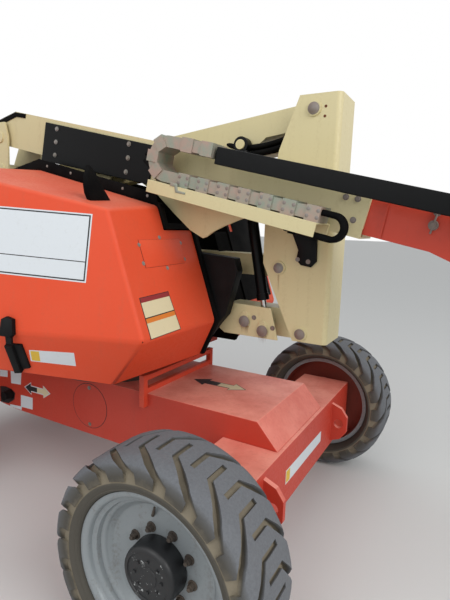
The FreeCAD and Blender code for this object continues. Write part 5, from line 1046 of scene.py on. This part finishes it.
# This black film is painted shade, standing in for the dark inside of the port.
plate("chassis_port", at_side(CHASSIS_Y - FILM_LIFT, PORT_SHADE_OUTLINE), NEAR, .0006, black_film, "chassis")
bm = bmesh.new()
bmesh.ops.create_cone(bm, cap_ends=True, segments=32, radius1=.030, radius2=.026, depth=.050,
                      matrix=Matrix.Translation(PORT_CAP) @ Matrix.Rotation(math.radians(90), 4, "X"))
settle("chassis_port_cap", bm, [black_plastic], "chassis")
ring = [(COVER_X + GAP_REACH * math.cos(a), COVER_Z + GAP_REACH * math.sin(a))
        for a in (2 * math.pi * k / GAP_POINTS for k in range(GAP_POINTS))]
plate("chassis_cover_gap", at_side(CHASSIS_Y - FILM_LIFT, ring), NEAR, .0006, black_film, "chassis")
bm = bmesh.new()
dome(bm, Vector((COVER_X, CHASSIS_Y, COVER_Z)), NEAR, COVER_REACH, .004, collar=1.17)
settle("chassis_round_cover", bm, [chassis_red], "chassis", crease=50)
screwed("chassis_cover_screws", at_side(-.2835, [(-1.289, .600), (-1.289, .404)]), NEAR, .0075, .004, zinc,
        "chassis")

# Jib: two slim cream boxes that keep the platform level between them, on dark cast brackets
# with rusty pins.
for name in ("jib_arm", "jib_link"):
    eased(name, cream_enamel, edge=0.002)
for name in ("jib_base", "platform_mount"):
    eased(name, weight_black, edge=0.003)

# Platform: welded tube rails in cream enamel, kick plates and a gate on two hinges round a
# deck of perforated aluminium sheet.
HOLE_PITCH = .025
HOLE_RADIUS = .0042
SHEET_PATCH = 0.0909


def punched_sheet():
    """Mill finish aluminium with rows of small raised, punched holes, which are painted near black as painted
    shade.
    """
    material, tree, shader = surface("punched_deck_aluminium", {"Metallic": 0.8})
    where = add(tree, "TexCoord").outputs["Object"]
    pitch, half = (HOLE_PITCH, HOLE_PITCH, 1.0), (HOLE_PITCH / 2, HOLE_PITCH / 2, 0.0)
    place = where
    for value, operation in ((pitch, "MODULO"), (pitch, "ADD"), (pitch, "MODULO"), (half, "SUBTRACT"),
                             ((1.0, 1.0, 0.0), "MULTIPLY")):
        place = add(tree, "VectorMath", {0: place, 1: value}, operation=operation)
    away = add(tree, "VectorMath", {0: place}, operation="LENGTH").outputs["Value"]
    hole_shade = add(tree, "MapRange", {"Value": away, "From Min": HOLE_RADIUS, "From Max": .0050})
    wear = add(tree, "TexNoise", {"Vector": where, "Scale": 1 / SHEET_PATCH, "Detail": 6.0})
    sheet = add(tree, "Mix", {0: wear, 6: ink("#8D8E8D"), 7: ink("#B4B3AE")}, data_type="RGBA")
    # The holes are painted near black: painted shade seen through them.
    mixed = add(tree, "Mix", {0: hole_shade, 6: ink("#0C0C0D"), 7: sheet}, data_type="RGBA")
    dull = add(tree, "MapRange", {"Value": wear, "To Min": 0.35, "To Max": 0.6})
    ring = add(tree, "MapRange", {"Value": away, "From Min": .0045, "From Max": .0085, "To Min": 1.0,
                                  "To Max": 0.0})
    relief = add(tree, "Bump", {"Height": ring, "Strength": 0.6, "Distance": 0.0015})
    plug(shader, {"Base Color": mixed, "Roughness": dull, "Normal": relief})
    return material


dress("platform_rails", cream_enamel)
dress("platform_gate", cream_enamel)
eased("platform_floor", punched_sheet(), edge=0.0015)

# Control box: a black moulded console with six toggles, a red stop button and two sticks in
# rubber boots on its sloping top, as the operator faces it.
BOX_X = -reach_of("control_box", -AHEAD)
BOX_Y = -reach_of("control_box", NEAR)
BOX_TOP = reach_of("control_box", UP)
TOGGLE_LEAN = math.radians(-14)
eased("control_box", black_plastic, edge=0.006, steps=3)
bm = bmesh.new()
for k in range(6):
    spot = Matrix.Translation((BOX_X + .045, BOX_Y + .06 + .06 * k, BOX_TOP - .001))
    bmesh.ops.create_cone(bm, cap_ends=True, segments=16, radius1=.008, radius2=.007, depth=.006, matrix=spot)
    lever = spot @ Matrix.Rotation(TOGGLE_LEAN, 4, "Y") @ Matrix.Translation((0, 0, .012))
    bmesh.ops.create_cone(bm, cap_ends=True, segments=10, radius1=.0022, radius2=.0032, depth=.024,
                          matrix=lever)
settle("toggle_switches", bm, [zinc], "platform")
stop_red = film("stop_button_red", "#B3231C", 0.28)
bm = bmesh.new()
dome(bm, Vector((BOX_X + .105, BOX_Y + .075, BOX_TOP - .0005)), UP, .021, .016)
settle("stop_button", bm, [stop_red], "platform", crease=50)
bm = bmesh.new()
for y in (BOX_Y + .17, BOX_Y + .31):
    spot = Vector((BOX_X + .10, y, BOX_TOP - .0005))
    dome(bm, spot, UP, .026, .010)
    stick = Matrix.Translation(spot + Vector((0, 0, .035)))
    bmesh.ops.create_cone(bm, cap_ends=True, segments=16, radius1=.006, radius2=.011, depth=.06, matrix=stick)
settle("control_sticks", bm, [seal_rubber], "platform", crease=40)
